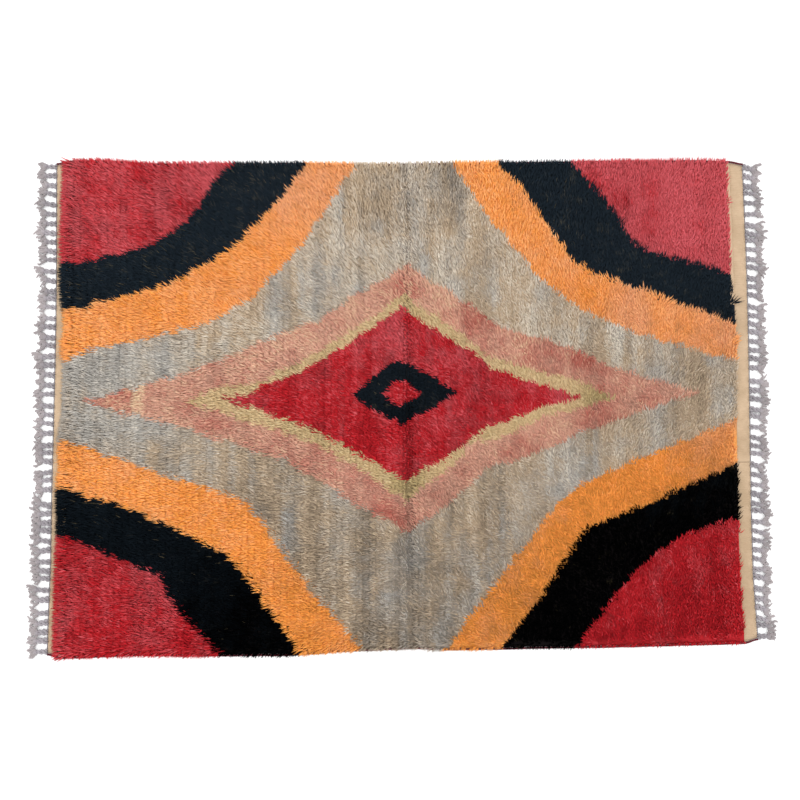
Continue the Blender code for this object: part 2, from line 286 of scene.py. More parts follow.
# Where each wool's dye changes: a patch of the cloth, how much of the second lot comes in, and how
# much lighter the wool is there.
DyePatch = namedtuple("DyePatch", "u v half_u half_v second lighter")
DYE_PATCHES = {
    "grey": rows_of(
        DyePatch,
        (-1.05, 0.08, 0.22, 0.25, -0.75, 0.02),
        (-0.65, 0.20, 0.16, 0.14, 0.00, 0.03),
        (0.60, 0.22, 0.25, 0.12, 0.00, 0.08),
        (0.00, 0.76, 0.22, 0.14, 0.00, -0.24),
        (1.07, 0.10, 0.12, 0.16, 0.10, -0.13),
        (0.25, -0.49, 0.020, 0.10, 0.30, -0.16),
        (-0.33, -0.42, 0.025, 0.20, 0.20, -0.10),
        (-0.78, 0.36, 0.025, 0.10, 0.20, -0.10),
        (-0.08, -0.62, 0.36, 0.25, 0.00, -0.08),
        (0.60, -0.30, 0.12, 0.15, -0.20, 0.08),
    ),
    "orange": rows_of(
        DyePatch,
        (0.82, 0.40, 0.10, 0.40, 0.65, 0.00),
        (0.97, 0.30, 0.05, 0.40, 0.35, 0.05),
        (1.12, 0.25, 0.10, 0.40, 0.60, 0.00),
        (-0.33, 0.75, 0.16, 0.16, 0.45, -0.04),
        (1.10, -0.20, 0.12, 0.30, 0.05, -0.07),
        (0.72, -0.40, 0.18, 0.20, -0.35, -0.05),
        (-0.40, -0.72, 0.25, 0.20, 0.00, -0.08),
        (0.40, -0.72, 0.25, 0.20, 0.00, -0.14),
    ),
    "red": rows_of(
        DyePatch,
        (0.00, 0.02, 0.75, 0.35, 0.25, -0.02),
        (0.86, 0.64, 0.12, 0.13, 0.25, -0.10),
        (0.75, 0.80, 0.20, 0.05, 0.25, -0.05),
        (1.08, 0.70, 0.14, 0.22, -0.15, 0.07),
        (1.00, -0.68, 0.25, 0.15, 0.14, -0.01),
    ),
    "pink": rows_of(
        DyePatch,
        (-0.955, 0.03, 0.018, 0.12, -0.30, 0.25),
        (-1.03, 0.03, 0.06, 0.12, 0.35, 0.00),
        (-0.72, 0.10, 0.07, 0.20, 0.25, -0.03),
        (0.28, 0.34, 0.10, 0.20, 0.40, -0.06),
        (0.55, 0.18, 0.14, 0.20, 0.40, -0.05),
        (0.80, 0.00, 0.20, 0.20, 0.30, -0.04),
        (0.00, 0.46, 0.08, 0.10, 0.35, -0.02),
        (-0.12, -0.40, 0.12, 0.12, 0.25, -0.06),
        (0.14, -0.34, 0.12, 0.20, -0.05, -0.05),
        (-0.84, 0.00, 0.10, 0.10, -0.15, 0.05),
    ),
    "mustard": rows_of(
        DyePatch,
        (0.00, -0.31, 0.06, 0.06, 0.55, -0.08),
        (0.70, 0.02, 0.09, 0.07, 0.35, -0.08),
    ),
}

# Each wool's mix of its two dye lots over the rug, its tone, and how streaky and mixed it is. Both
# the mix and the tone start from a value at the middle and change along u, along v and crosswise;
# in the red and the black the change along v is partly painted sheen, the red rosier and the black bluer
# towards the back.
LotsAndSheen = namedtuple("LotsAndSheen", "second by_u by_v by_uv tone tone_u tone_v tone_uv streaks mottle mixed")
LOTS_AND_SHEEN = {
    "grey": LotsAndSheen(0.72, 0.00, 0.00, 0.00, 0.49, 0.00, 0.18, 0.00, 0.36, 0.11, 0.10),
    "orange": LotsAndSheen(0.20, 0.00, 0.15, 0.00, 0.52, -0.05, 0.06, 0.06, 0.08, 0.09, 0.07),
    "black": LotsAndSheen(0.44, 0.10, -0.90, -0.30, 0.44, 0.00, 0.05, 0.00, 0.03, 0.03, 0.03),
    "red": LotsAndSheen(0.56, -0.06, -0.60, -0.28, 0.46, 0.01, 0.09, 0.08, 0.24, 0.15, 0.13),
    "pink": LotsAndSheen(0.12, 0.00, -0.40, 0.00, 0.52, -0.02, 0.16, 0.00, 0.12, 0.14, 0.10),
    "mustard": LotsAndSheen(0.12, 0.00, 0.00, 0.00, 0.54, 0.00, 0.05, 0.00, 0.06, 0.08, 0.07),
}
# How much the lots themselves change in streaks, against how much the tone does.
LOT_STREAKS = 2.0
LOT_MOTTLE = 4.0
# Shares of the locks that are fine pale or dark hairs, of khaki flecks in the black, and of long
# stray fibres that lie across the pile.
PALE_HAIRS = 0.06
DARK_HAIRS = 0.03
KHAKI_FLECKS = 0.013
STRAYS = 0.003
# How much darker a lock is at its knot than at its tip, on the scale of tones: painted shade down in the
# pile.
PILE_ROOT_SHADE = 0.06

# Warp fringe, with as many bundles as the CAD part's and nearly their places.
STRIP_WIDTH = 0.004
BUNDLES = 51
BUNDLE_REACH = 0.072
BUNDLE_JITTER = 0.0060
BUNDLE_LEAN = 0.10
BUNDLE_LEAN_JITTER = 0.05
GATHER = 0.20
GAP_SPREAD = 0.010
GAP_REACH = 0.08
# The bundles' lengths and widths, as shares of the usual ones.
BUNDLE_LENGTHS = (0.76, 0.98)
BUNDLE_WIDTHS = (1.10, 1.50)
# The twined warp edge beside each band: its middle from the cloth's end and from the floor, its
# thickness and the length of its turns.
EDGE_OFF = 0.0017
EDGE_HEIGHT = 0.0016
EDGE_THICKNESS = 0.0030
EDGE_TURNS = 0.011
RugEnd = namedtuple("RugEnd", "name out seed gaps lean lean_v")
RUG_ENDS = (
    RugEnd(name="left", out=-1, seed=3, gaps=(-0.33, -0.70), lean=0.04, lean_v=0.10),
    RugEnd(name="right", out=1, seed=8, gaps=(0.69, 0.10), lean=-0.16, lean_v=0.04),
)

# Camera of the photograph.
CAMERA_PLACE = (-0.132, -0.158, 2.86)
CAMERA_TURN = (3.22, -2.11, -0.61)
CAMERA_LENS = 36.0
CAMERA_SENSOR = 36.0
# The soft light, above the back left corner and turned towards the rug.
KEY_PLACE = (-1.2, 1.4, 3.2)
KEY_TURN = (-23.6, -19.0, 0.0)

# The wools' two dye lots and their palest fibres: undyed grey, cool and warm; bright orange and
# peach; blue-black and deep black with khaki fibres; rosy and deep red; faded and redder pink with
# cream fibres; mustard and a greener mustard. The blue-black and the rosy red, which lie towards the back,
# are partly painted sheen.
LOT_NAMES = ("first", "second", "pale")
WOOL_COLOURS = {
    "grey": ("#bfbab3", "#c9b398", "#e8dfd0"),
    "orange": ("#faa54c", "#f0ad7e", "#ffc890"),
    "black": ("#222b33", "#020202", "#6f654e"),
    "red": ("#d05c62", "#c7272f", "#dc6a72"),
    "pink": ("#deab95", "#c56e60", "#e7ceaa"),
    "mustard": ("#dabe92", "#b09f69", "#ecdcb2"),
}

# A wave texture of scale 1 repeats each 0.314 m.
WAVE_PERIOD = 0.314

# The UV map that carries each strand's dye and the way along it.
DYE_MAP = "OFBake"


def linear(hex_colour):
    """A colour written as sRGB hex, as the linear values that a material takes."""
    values = [int(hex_colour[i : i + 2], 16) / 255 for i in (1, 3, 5)]
    return [c / 12.92 if c <= 0.04045 else ((c + 0.055) / 1.055) ** 2.4 for c in values]


def length_property(name, description, default):
    """A size in metres that a user may change."""
    return bpy.props.FloatProperty(
        name=name, description=description, default=default, min=0.0001, precision=4, unit="LENGTH"
    )


def share_property(name, description, default):
    """A share from 0 to 1 that a user may change."""
    return bpy.props.FloatProperty(
        name=name, description=description, default=default, min=0.0, max=1.0, subtype="FACTOR"
    )


def seed_property(default):
    """The seed of a piece's unevenness."""
    return bpy.props.IntProperty(name="Seed", description="Seed of the unevenness", default=default, min=0)


def colour_property(name, description, hex_colour):
    """A yarn colour that a user may change."""
    default = linear(hex_colour)
    return bpy.props.FloatVectorProperty(
        name=name, description=description, subtype="COLOR", size=3, min=0.0, max=1.0, default=default
    )


class RugPile(bpy.types.PropertyGroup):
    """Sizes of the knotted pile."""

    row_pitch: length_property("Row pitch", "Distance between two rows of knots", 0.0115)
    knot_pitch: length_property("Knot pitch", "Distance between two knots in a row", 0.0080)
    lock_length: length_property("Lock length", "Length of a lock of pile yarn", 0.034)
    lock_width: length_property("Lock width", "Width of a lock at its middle", 0.0044)
    uneven: share_property("Uneven lengths", "How far lock lengths stray from the usual one", 0.10)
    seed: seed_property(11)


class RugWools(bpy.types.PropertyGroup):
    """Colours of the six wools: two dye lots and the palest fibres of each; the blue-black and the rosy
    red lots are partly painted sheen.
    """

    __annotations__ = {
        f"{wool}_{lot}": colour_property(f"{wool.title()}, {lot}", f"The {lot} colour of the wool", colour)
        for wool, colours in WOOL_COLOURS.items()
        for lot, colour in zip(LOT_NAMES, colours)
    }


class RugWeave(bpy.types.PropertyGroup):
    """The woven parts of the rug: ground, end bands and selvedges."""

    warp_pitch: length_property("Warp pitch", "Distance between two warps", 0.0086)
    weft_pitch: length_property("Weft pitch", "Distance between two wefts of an end band", 0.0032)
    wrap_pitch: length_property("Wrap pitch", "Distance between two turns of a selvedge", 0.008)
    band_colour: colour_property("End band", "Undyed wool of the end bands", "#c4aa8d")
    band_shade: colour_property("End band, shade", "Soiled wool of the end bands", "#b1987b")
    selvedge_colour: colour_property("Selvedge", "Maroon wool of the selvedges", "#6b1c28")
    # The darker selvedge colour is painted shade in the grooves between the turns.
    selvedge_shade: colour_property("Selvedge, shade", "Darker turns of the selvedges", "#2c0d14")


class RugFringe(bpy.types.PropertyGroup):
    """The knotted warp ends."""

    root_colour: colour_property("Root", "Warp yarn near the band", "#938d92")
    tail_colour: colour_property("Tail", "Frayed warp ends", "#8e8687")
    reach: length_property("Reach", "Length of a bundle from the band to its tail", BUNDLE_REACH)
    uneven: share_property("Uneven lengths", "How far bundles stray from the usual length", 0.10)
    seed: seed_property(21)


class RugStage(bpy.types.PropertyGroup):
    """Floor, light and camera."""

    floor_colour: colour_property("Floor", "Paper floor", "#fbfbfb")
    floor_size: length_property("Floor size", "Side of the square floor", 24.0)
    sky_strength: bpy.props.FloatProperty(
        name="Sky", description="Brightness of the white surroundings", default=1.44, min=0.0
    )
    key_power: bpy.props.FloatProperty(
        name="Key light", description="Power of the soft light", default=35.0, min=0.0, unit="POWER"
    )
    key_size: length_property("Key light size", "Side of the soft light", 3.6)


def smooth(share):
    """A share from 0 to 1, eased at both ends."""
    return share * share * (3 - 2 * share)


def bell(x):
    """A soft bump, 1 at x = 0 and next to nothing from 2 on."""
    return np.exp(-(x**2))


def eased(rows, places):
    """The shift at places along an edge, easing from each row to the next."""
    at, by = np.array(rows, float).T
    places = np.clip(places, at[0], at[-1])
    before = np.clip(np.searchsorted(at, places, side="right") - 1, 0, len(at) - 2)
    share = smooth((places - at[before]) / (at[before + 1] - at[before]))
    return by[before] + share * (by[before + 1] - by[before])


def on_cloth(u, v, z):
    """Where points of the flat cloth lie once the uneven edges have pulled it, one row each."""
    u, v, z = np.broadcast_arrays(*(np.asarray(a, float) for a in (u, v, z)))
    to_right = 0.5 + u / CLOTH_LENGTH
    to_back = 0.5 + v / CLOTH_WIDTH
    x = u + to_right * eased(RIGHT_EDGE, v) + (1 - to_right) * eased(LEFT_EDGE, v)
    y = v + to_back * eased(BACK_EDGE, u) + (1 - to_back) * eased(FRONT_EDGE, u)
    return np.stack([x, y, z], axis=-1)


def fold_strength(v):
    """How deep the old fold is, 1 at the middle of the rug."""
    return 1 - FOLD_FADE * (v / HALF_WIDTH) ** 2


def fold_at(u, v):
    """From 0 away from the old fold to 1 at its deepest."""
    return bell((u - FOLD_U) / FOLD_HALF_WIDTH) * fold_strength(v)


def pile_height(u, v):
    """Height of the pile, with its long lumps and the trough of the old fold."""
    height = np.full_like(u, PILE_HEIGHT)
    for lump in LUMPS:
        heading = math.radians(lump.heading)
        along = u * math.cos(heading) + v * math.sin(heading)
        height += lump.height * np.sin(math.tau * along / lump.length + lump.phase)
    return height - FOLD_DEPTH * fold_at(u, v)


def cloudy(u, v, size_u, size_v, seed):
    """Smooth random values from -1 to 1 that change over patches of a size."""
    count = 128
    lattice = np.random.default_rng(seed).uniform(-1, 1, (count, count))
    a = np.asarray(u, float) / size_u + count / 2
    b = np.asarray(v, float) / size_v + count / 2
    i = np.floor(a).astype(int)
    j = np.floor(b).astype(int)
    share_a = smooth(a - i)
    share_b = smooth(b - j)
    low, high = (
        lattice[i % count, k % count] * (1 - share_a) + lattice[(i + 1) % count, k % count] * share_a
        for k in (j, j + 1)
    )
    return low * (1 - share_b) + high * share_b


def sweep(*controls, steps=40):
    """Points along a curve with two, three or four control points."""
    points = [np.array(c, float) for c in controls]
    share = np.linspace(0, 1, steps)[:, None]
    rows = [np.broadcast_to(p, (steps, 2)) for p in points]
    while len(rows) > 1:
        rows = [a + (b - a) * share for a, b in zip(rows, rows[1:])]
    return rows[0]


def band_outline(edge):
    """The corner of the rug that a band's edge cuts off, as a closed outline."""
    out = np.array([edge.to_u, edge.to_v])
    side_angle = math.radians(edge.side_angle)
    long_angle = math.radians(edge.long_angle)
    side = out * (PILE_HALF_LENGTH, edge.side_v)
    long = out * (edge.long_u, PILE_HALF_WIDTH)
    side_control = side + out * edge.side_pull * np.array([-math.cos(side_angle), math.sin(side_angle)])
    long_control = long + out * edge.long_pull * np.array([math.sin(long_angle), -math.cos(long_angle)])
    far = out * (1.4, 1.0)
    beyond = [(long[0], far[1]), far, (far[0], side[1])]
    return np.vstack([sweep(side, side_control, long_control, long), beyond])


def lozenge_outline(number):
    """The drawn-in outline of one lozenge, with its swellings."""
    lozenge = LOZENGES[number]
    middle = np.array([lozenge.back[0] + lozenge.front[0], lozenge.left[1] + lozenge.right[1]]) / 2
    corners = (lozenge.left, lozenge.back, lozenge.right, lozenge.front)
    sides = []
    for start, end in zip(corners, corners[1:] + corners[:1]):
        flat, tall = (start, end) if start in (lozenge.left, lozenge.right) else (end, start)
        draw_u = lozenge.draw_left if flat == lozenge.left else lozenge.draw_right
        control = middle + (draw_u, lozenge.draw_v) * (np.array([flat[0], tall[1]]) - middle)
        sides.append(sweep(start, control, end, steps=24)[:-1])
    outline = np.vstack(sides)
    away = outline - middle
    bearing = np.degrees(np.arctan2(away[:, 1], away[:, 0]))
    outward = away / np.linalg.norm(away, axis=1, keepdims=True)
    for swell in SWELLS:
        if swell.lozenge == number:
            off = (bearing - swell.bearing + 180) % 360 - 180
            outline = outline + outward * swell.by * bell(off / swell.spread)[:, None]
    return outline


def inside(outline, u, v):
    """Whether each place lies inside a closed outline."""
    crossed = np.zeros(u.shape, bool)
    for (u0, v0), (u1, v1) in zip(outline, np.roll(outline, -1, axis=0)):
        if v0 == v1:
            continue
        spans = (v0 > v) != (v1 > v)
        crossed ^= spans & (u < u0 + (v - v0) / (v1 - v0) * (u1 - u0))
    return crossed


def wool_at(u, v):
    """Which wool shows at each place, as its number in WOOLS."""
    found = np.zeros(u.shape, int)
    for edge in BAND_EDGES:
        found[inside(band_outline(edge), u, v)] = WOOLS.index(edge.wool)
    for number, lozenge in enumerate(LOZENGES):
        found[inside(lozenge_outline(number), u, v)] = WOOLS.index(lozenge.wool)
    return found


def nap_at(u, v):
    """Heading in radians, uprightness in degrees, mess and length of the nap at each place."""
    table = np.array(NAPS, float)
    away = (u[:, None] - table[:, 0]) ** 2 + (v[:, None] - table[:, 1]) ** 2
    weight = np.exp(-away / (2 * NAP_SPREAD**2)) + 1e-9
    weight /= weight.sum(axis=1, keepdims=True)
    way = np.radians(table[:, 2])
    heading = np.arctan2(weight @ np.sin(way), weight @ np.cos(way))
    return heading, weight @ table[:, 3], weight @ table[:, 4], weight @ table[:, 5]


def patch_weight(u, v, patch):
    """From 0 outside a dye patch to 1 inside it, with a soft rim."""
    away = ((u - patch.u) / patch.half_u) ** 4 + ((v - patch.v) / patch.half_v) ** 4
    return np.exp(-away)


def turned_towards(heading, way, share):
    """Headings turned by a share of the way towards another heading."""
    return np.arctan2(
        (1 - share) * np.sin(heading) + share * np.sin(way),
        (1 - share) * np.cos(heading) + share * np.cos(way),
    )


def tuft_cell(u, v):
    """The row and the column of the tuft that each place belongs to, on a brick grid."""
    row = np.floor(u / TUFT_LENGTH + 64).astype(int)
    return row, np.floor(v / TUFT_WIDTH + 0.5 * (row % 2) + 64).astype(int)


def tuft_middle(u, v):
    """The middle of the tuft that each place belongs to; the joints of the grid are uneven."""
    row, column = tuft_cell(u, v)
    uneven = np.random.default_rng(37).uniform(-0.3, 0.3, (2, 256, 256))[:, row, column]
    middle_u = (row - 63.5 + uneven[0]) * TUFT_LENGTH
    middle_v = (column - 63.5 - 0.5 * (row % 2) + uneven[1]) * TUFT_WIDTH
    return middle_u, middle_v


def tuft_tone(u, v):
    """How much lighter or darker the whole tuft at each place is."""
    return np.random.default_rng(52).normal(0, 1, (256, 256))[tuft_cell(u, v)]


def rim_distances(u, v):
    """How far inside each edge of the pile field the places are."""
    return {
        "front": v + PILE_HALF_WIDTH,
        "back": PILE_HALF_WIDTH - v,
        "left": u + PILE_HALF_LENGTH,
        "right": PILE_HALF_LENGTH - u,
    }


def rim_overhangs(u, v):
    """How far the tips may pass each edge of the pile field at the places."""
    along = {"front": u, "back": u, "left": v, "right": v}
    return {side: eased(RIMS[side].overhangs, places) for side, places in along.items()}


def lay_knots(pile):
    """Every knot of the pile: where it is tied and where it shows, its wool, and how its locks lie,
    as named arrays."""
    rng = np.random.default_rng(pile.seed)
    row_count = round((2 * PILE_HALF_LENGTH + LEFT_ROWS) / pile.row_pitch)
    knot_count = round(2 * PILE_HALF_WIDTH / pile.knot_pitch)
    rows = (np.arange(row_count) + 0.5) / row_count * 2 - 1
    knots = (np.arange(knot_count) + 0.5) / knot_count * 2 - 1
    u, v = (a.ravel() for a in np.meshgrid(rows, knots, indexing="ij"))
    u = u * (PILE_HALF_LENGTH + LEFT_ROWS / 2) - LEFT_ROWS / 2
    v = v * PILE_HALF_WIDTH
    odd = np.repeat(np.arange(row_count) % 2, knot_count)
    v = v + (odd - 0.5) * 0.5 * pile.knot_pitch
    u = u + pile.row_pitch * ROW_JITTER * rng.uniform(-1, 1, u.size)
    v = v + pile.knot_pitch * KNOT_JITTER * rng.uniform(-1, 1, u.size)
    u = np.clip(u, RIM_MARGIN - PILE_HALF_LENGTH - LEFT_ROWS, PILE_HALF_LENGTH - RIM_MARGIN)
    v = np.clip(v, RIM_MARGIN - PILE_HALF_WIDTH, PILE_HALF_WIDTH - RIM_MARGIN)
    inward = rim_distances(u, v)
    outward = rim_overhangs(u, v)
    tied = np.min([inward[side] + outward[side] for side in RIMS], axis=0) > RIM_MARGIN
    u = u[tied]
    v = v[tied]

    heading, upright, mess, length = nap_at(u, v)
    swirl = 0.6 * cloudy(u, v, 0.045, 0.028, 31) + 0.4 * cloudy(u, v, 0.12, 0.09, 32)
    heading = heading + np.radians(SWIRL + MESSY_SWIRL * mess) * swirl
    upright = upright + (NOD + MESSY_NOD * mess) * cloudy(u, v, 0.03, 0.03, 33)

    # The tips of a tuft draw together.
    middle_u, middle_v = tuft_middle(u, v)
    lean = 0.8 * length * pile.lock_length
    reach_u = lean * np.cos(heading) + TUFT_PULL * (middle_u - u)
    reach_v = lean * np.sin(heading) + TUFT_PULL * (middle_v - v)
    heading = np.arctan2(reach_v, reach_u)
    length = length * np.hypot(reach_u, reach_v) / lean

    for side, over in rim_distances(u, v).items():
        rim = RIMS[side]
        near = bell(over / rim.width)
        heading = turned_towards(heading, math.radians(rim.heading), rim.share * near)
        length = length * (1 + rim.longer * near)
        upright = upright - rim.lower * near
    free = np.zeros(u.size)
    for flare in FLARES:
        near = bell(np.hypot(u - flare.u, v - flare.v) / flare.radius)
        heading = turned_towards(heading, math.radians(flare.heading), near)
        upright = upright * (1 - near)
        length = length * (1 - near) + flare.length * near
        free = np.maximum(free, near)

    height = pile_height(u, v) / PILE_HEIGHT
    beside = bell((u - FOLD_U - WORN_OFF) / WORN_HALF_WIDTH) * fold_strength(v)
    length = length * height * (1 - WORN_SHARE * beside)

    # A wool shows where its locks lie, not where they are tied, and its edge is a little ragged.
    lean = length * pile.lock_length * (LOCK_REACH - 0.010 * upright)
    stray_u = 0.006 * cloudy(u, v, 0.06, 0.05, 34) + 0.008 * cloudy(u, v, 0.018, 0.016, 36)
    stray_v = 0.006 * cloudy(u, v, 0.05, 0.06, 35) + 0.008 * cloudy(u, v, 0.018, 0.016, 39)
    seen_u = u + SEEN_AT * lean * np.cos(heading) + stray_u
    seen_v = v + SEEN_AT * lean * np.sin(heading) + stray_v
    nap = {"heading": heading, "upright": upright, "mess": mess, "length": length, "free": free}
    return {"u": u, "v": v, "seen_u": seen_u, "seen_v": seen_v, "wool": wool_at(seen_u, seen_v), **nap}


def shorn(locks, heading, lock_length):
    """Lock lengths cut back at the rim, so that the tips end in one soft, slightly wavy line."""
    u = locks["u"]
    v = locks["v"]
    length = locks["length"].copy()
    overhangs = rim_overhangs(u, v)
    for side, over in rim_distances(u, v).items():
        towards = np.cos(heading - math.radians(RIMS[side].heading))
        wavy = overhangs[side] + RIM_WAVES * cloudy(u, v, 0.05, 0.05, 38)
        most = (over + wavy) / np.maximum(towards, 0.05) / (LOCK_REACH * lock_length)
        most = np.maximum(most, SHORTEST)
        cut_back = (most < length) & (locks["free"] < 0.3)
        length[cut_back] = most[cut_back]
    return length


def dye_knots(knots):
    """Each knot's share of its wool's second lot and its tone, both from about 0 to 1."""
    u = knots["seen_u"]
    v = knots["seen_v"]
    thin = cloudy(knots["u"], v, 0.0115, 0.18, 40)
    streak = 0.35 * thin + 0.35 * cloudy(u, v, 0.022, 0.22, 41) + 0.3 * cloudy(u, v, 0.055, 0.40, 42)
    lot_streak = 0.5 * cloudy(u, v, 0.024, 0.22, 44) + 0.5 * cloudy(u, v, 0.060, 0.36, 45)
    patchy = 0.5 * cloudy(u, v, 0.10, 0.12, 43) + 0.5 * cloudy(u, v, 0.035, 0.040, 46)
    blotchy = 0.5 * cloudy(u, v, 0.09, 0.08, 47) + 0.5 * cloudy(u, v, 0.030, 0.036, 48)
    tufts = TUFT_TONE * tuft_tone(knots["u"], knots["v"])
    tone = np.zeros(u.size)
    second = np.zeros(u.size)
    for number, name in enumerate(WOOLS):
        lots = LOTS_AND_SHEEN[name]
        mine = knots["wool"] == number
        plain = lots.tone + lots.tone_u * u + lots.tone_v * v + lots.tone_uv * u * v
        tone[mine] = (plain + lots.streaks * streak + lots.mottle * patchy + tufts)[mine]
        mixed = lots.second + lots.by_u * u + lots.by_v * v + lots.by_uv * u * v
        mixed = mixed + LOT_STREAKS * lots.streaks * lot_streak + LOT_MOTTLE * lots.mottle * blotchy
        second[mine] = mixed[mine]
        for patch in DYE_PATCHES.get(name, ()):
            weight = patch_weight(u, v, patch)[mine]
            second[mine] += patch.second * weight
            tone[mine] += patch.lighter * weight

    # The old fold, all painted light and strongest at the front: painted shade in a dark line that wanders
    # along the crease, a painted highlight on the pale ridge to its right and a painted shadow to its
    # left.
    wander = 0.006 * cloudy(v, 0 * v, 0.12, 1.0, 49)
    # How strong the crease's painted shade is, changing along the fold.
    along_change = 0.75 + 0.35 * cloudy(v, 0 * v, 0.035, 1.0, 50)
    reach = np.clip(0.45 - v, 0, 1) + 0.5 * np.clip(v - 0.45, 0, 1)
    crease_shade = bell((u - FOLD_U - CREASE_SHADE.off - wander) / CREASE_SHADE.half_width) * reach * along_change
    ridge_highlight = bell((u - FOLD_U - RIDGE_HIGHLIGHT.off) / RIDGE_HIGHLIGHT.half_width) * np.clip(0.30 - v, 0, 1)
    shadow = bell((u - FOLD_U - SHADOW.off) / SHADOW.half_width) * np.clip(0.25 - v, 0, 0.8)
    tone += RIDGE_HIGHLIGHT.lighter * ridge_highlight + CREASE_SHADE.lighter * crease_shade + SHADOW.lighter * shadow
    return second, tone


# The kinds of node that are used most.
MATH = "ShaderNodeMath"
MIX = "ShaderNodeMix"
RAMP = "ShaderNodeValToRGB"
SEPARATE = "ShaderNodeSeparateXYZ"
COMBINE = "ShaderNodeCombineXYZ"
NOISE = "ShaderNodeTexNoise"
WAVE = "ShaderNodeTexWave"
ATTRIBUTE = "GeometryNodeInputNamedAttribute"


def feed(tree, socket, value):
    """Sets an input, or links it to an output, or to the first output in use of a node."""
    if isinstance(value, bpy.types.Node):
        value = next(output for output in value.outputs if output.enabled)
    if isinstance(value, bpy.types.NodeSocket):
        tree.links.new(value, socket)
    else:
        socket.default_value = value


def add_node(tree, kind, inputs=(), stops=(), **settings):
    """Adds a node with its own settings, what feeds its inputs, either in turn or by their names or
    numbers, and the stops of its ramp."""
    node = tree.nodes.new(kind)
    for name, value in settings.items():
        setattr(node, name, value)
    for key, value in inputs.items() if isinstance(inputs, dict) else enumerate(inputs):
        feed(tree, node.inputs[key], value)
    if stops:
        elements = node.color_ramp.elements
        elements.remove(elements[1])
        elements[0].position = stops[0][0]
        elements[0].color = (*stops[0][1], 1.0)
        for position, colour in stops[1:]:
            elements.new(position).color = (*colour, 1.0)
    return node


def matt_material(name, sheen=0.0, roughness=0.92, gloss=0.15):
    """Wool scatters light from a thousand fibre scales: no gloss, and a soft pale bloom at its rims.
    Gives the material and its way to add a node."""
    material = bpy.data.materials.new(name)
    material.use_nodes = True
    shader = material.node_tree.nodes["Principled BSDF"]
    shader.inputs["Roughness"].default_value = roughness
    shader.inputs["Metallic"].default_value = 0.0
    shader.inputs["Specular IOR Level"].default_value = gloss
    shader.inputs["Sheen Weight"].default_value = sheen
    shader.inputs["Sheen Roughness"].default_value = 0.55
    return material, partial(add_node, material.node_tree)


def coloured(material, colour, relief=None, strength=0.0, distance=0.0):
    """Gives a material its colour, and the bump of a relief of a strength and a height in metres."""
    tree = material.node_tree
    shader = tree.nodes["Principled BSDF"]
    feed(tree, shader.inputs["Base Color"], colour)
    if relief:
        height = {"Strength": strength, "Distance": distance, "Height": relief}
        feed(tree, shader.inputs["Normal"], add_node(tree, "ShaderNodeBump", height))
    return material


def scaled(colour, factor):
    """A colour made lighter or darker."""
    return [min(1.0, c * factor) for c in colour]


def pile_wool(name, wools):
    """Hand-spun sheep's wool, dyed in the hank: two lots that run into each other, pale where the light
    catches the cut tips, a painted highlight, and dark down at the knots, painted shade. In the red and
    the black the change of lots from back to front is partly painted sheen.
    The map gives the mix of the two lots along u and the tone along v, dark at 0, the plain wool at 0.5
    and the palest fibres at 1."""
    first, second, pale = ((*getattr(wools, f"{name}_{lot}"), 1.0) for lot in LOT_NAMES)
    bright = name not in ("black", "red")
    material, add = matt_material(
        f"hand_spun_wool_{name}", sheen=0.02 if bright else 0.0, gloss=0.06 if bright else 0.0
    )
    dye, tone, _ = add(SEPARATE, [add("ShaderNodeUVMap", uv_map=DYE_MAP)]).outputs
    lots = add(MIX, {0: dye, 6: first, 7: second}, data_type="RGBA")
    # Below the middle of the tone the wool darkens: partly its own uneven tone, partly painted shade at
    # the knots and painted shade and shadow along the old fold.
    depth = add(RAMP, [tone], [(0.0, [0.45] * 3), (0.5, [1.0] * 3)])
    deep = add(MIX, {0: 1.0, 6: lots, 7: depth}, data_type="RGBA", blend_type="MULTIPLY")
    # Above the middle the wool turns to its palest fibres: partly pale hairs and strays, partly the
    # painted highlight on the fold's ridge.
    share = add(RAMP, [tone], [(0.5, [0.0] * 3), (1.0, [1.0] * 3)])
    colour = add(MIX, {0: share, 6: deep, 7: pale}, data_type="RGBA")
    # Plied yarn about 3 mm thick; single fibres would be too fine to show.
    where = add("ShaderNodeTexCoord").outputs["Object"]
    fibres = add(NOISE, {"Vector": where, "Scale": 330.0, "Detail": 2.0})
    return coloured(material, colour, fibres, strength=0.35, distance=0.0012)


def new_mesh(name, vertices, faces, attributes=None, smooth=True):
    """A mesh from arrays, with any named values that each of its points carries."""
    mesh = bpy.data.meshes.new(name)
    mesh.from_pydata(np.asarray(vertices, float).tolist(), [], [list(f) for f in faces])
    for key, values in (attributes or {}).items():
        layer = mesh.attributes.new(key, "FLOAT", "POINT")
        layer.data.foreach_set("value", np.asarray(values, np.float32))
    if smooth and faces:
        mesh.shade_smooth()
    mesh.update()
    return mesh


def new_piece(name, mesh):
    """A piece of the scene, at the origin."""
    piece = bpy.data.objects.new(name, mesh)
    bpy.context.scene.collection.objects.link(piece)
    return piece


def put_on_rug(piece, node):
    """The piece rides on the rug and stands for a CAD node, which it hides."""
    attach(piece, BODY)
    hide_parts(node)
    return piece


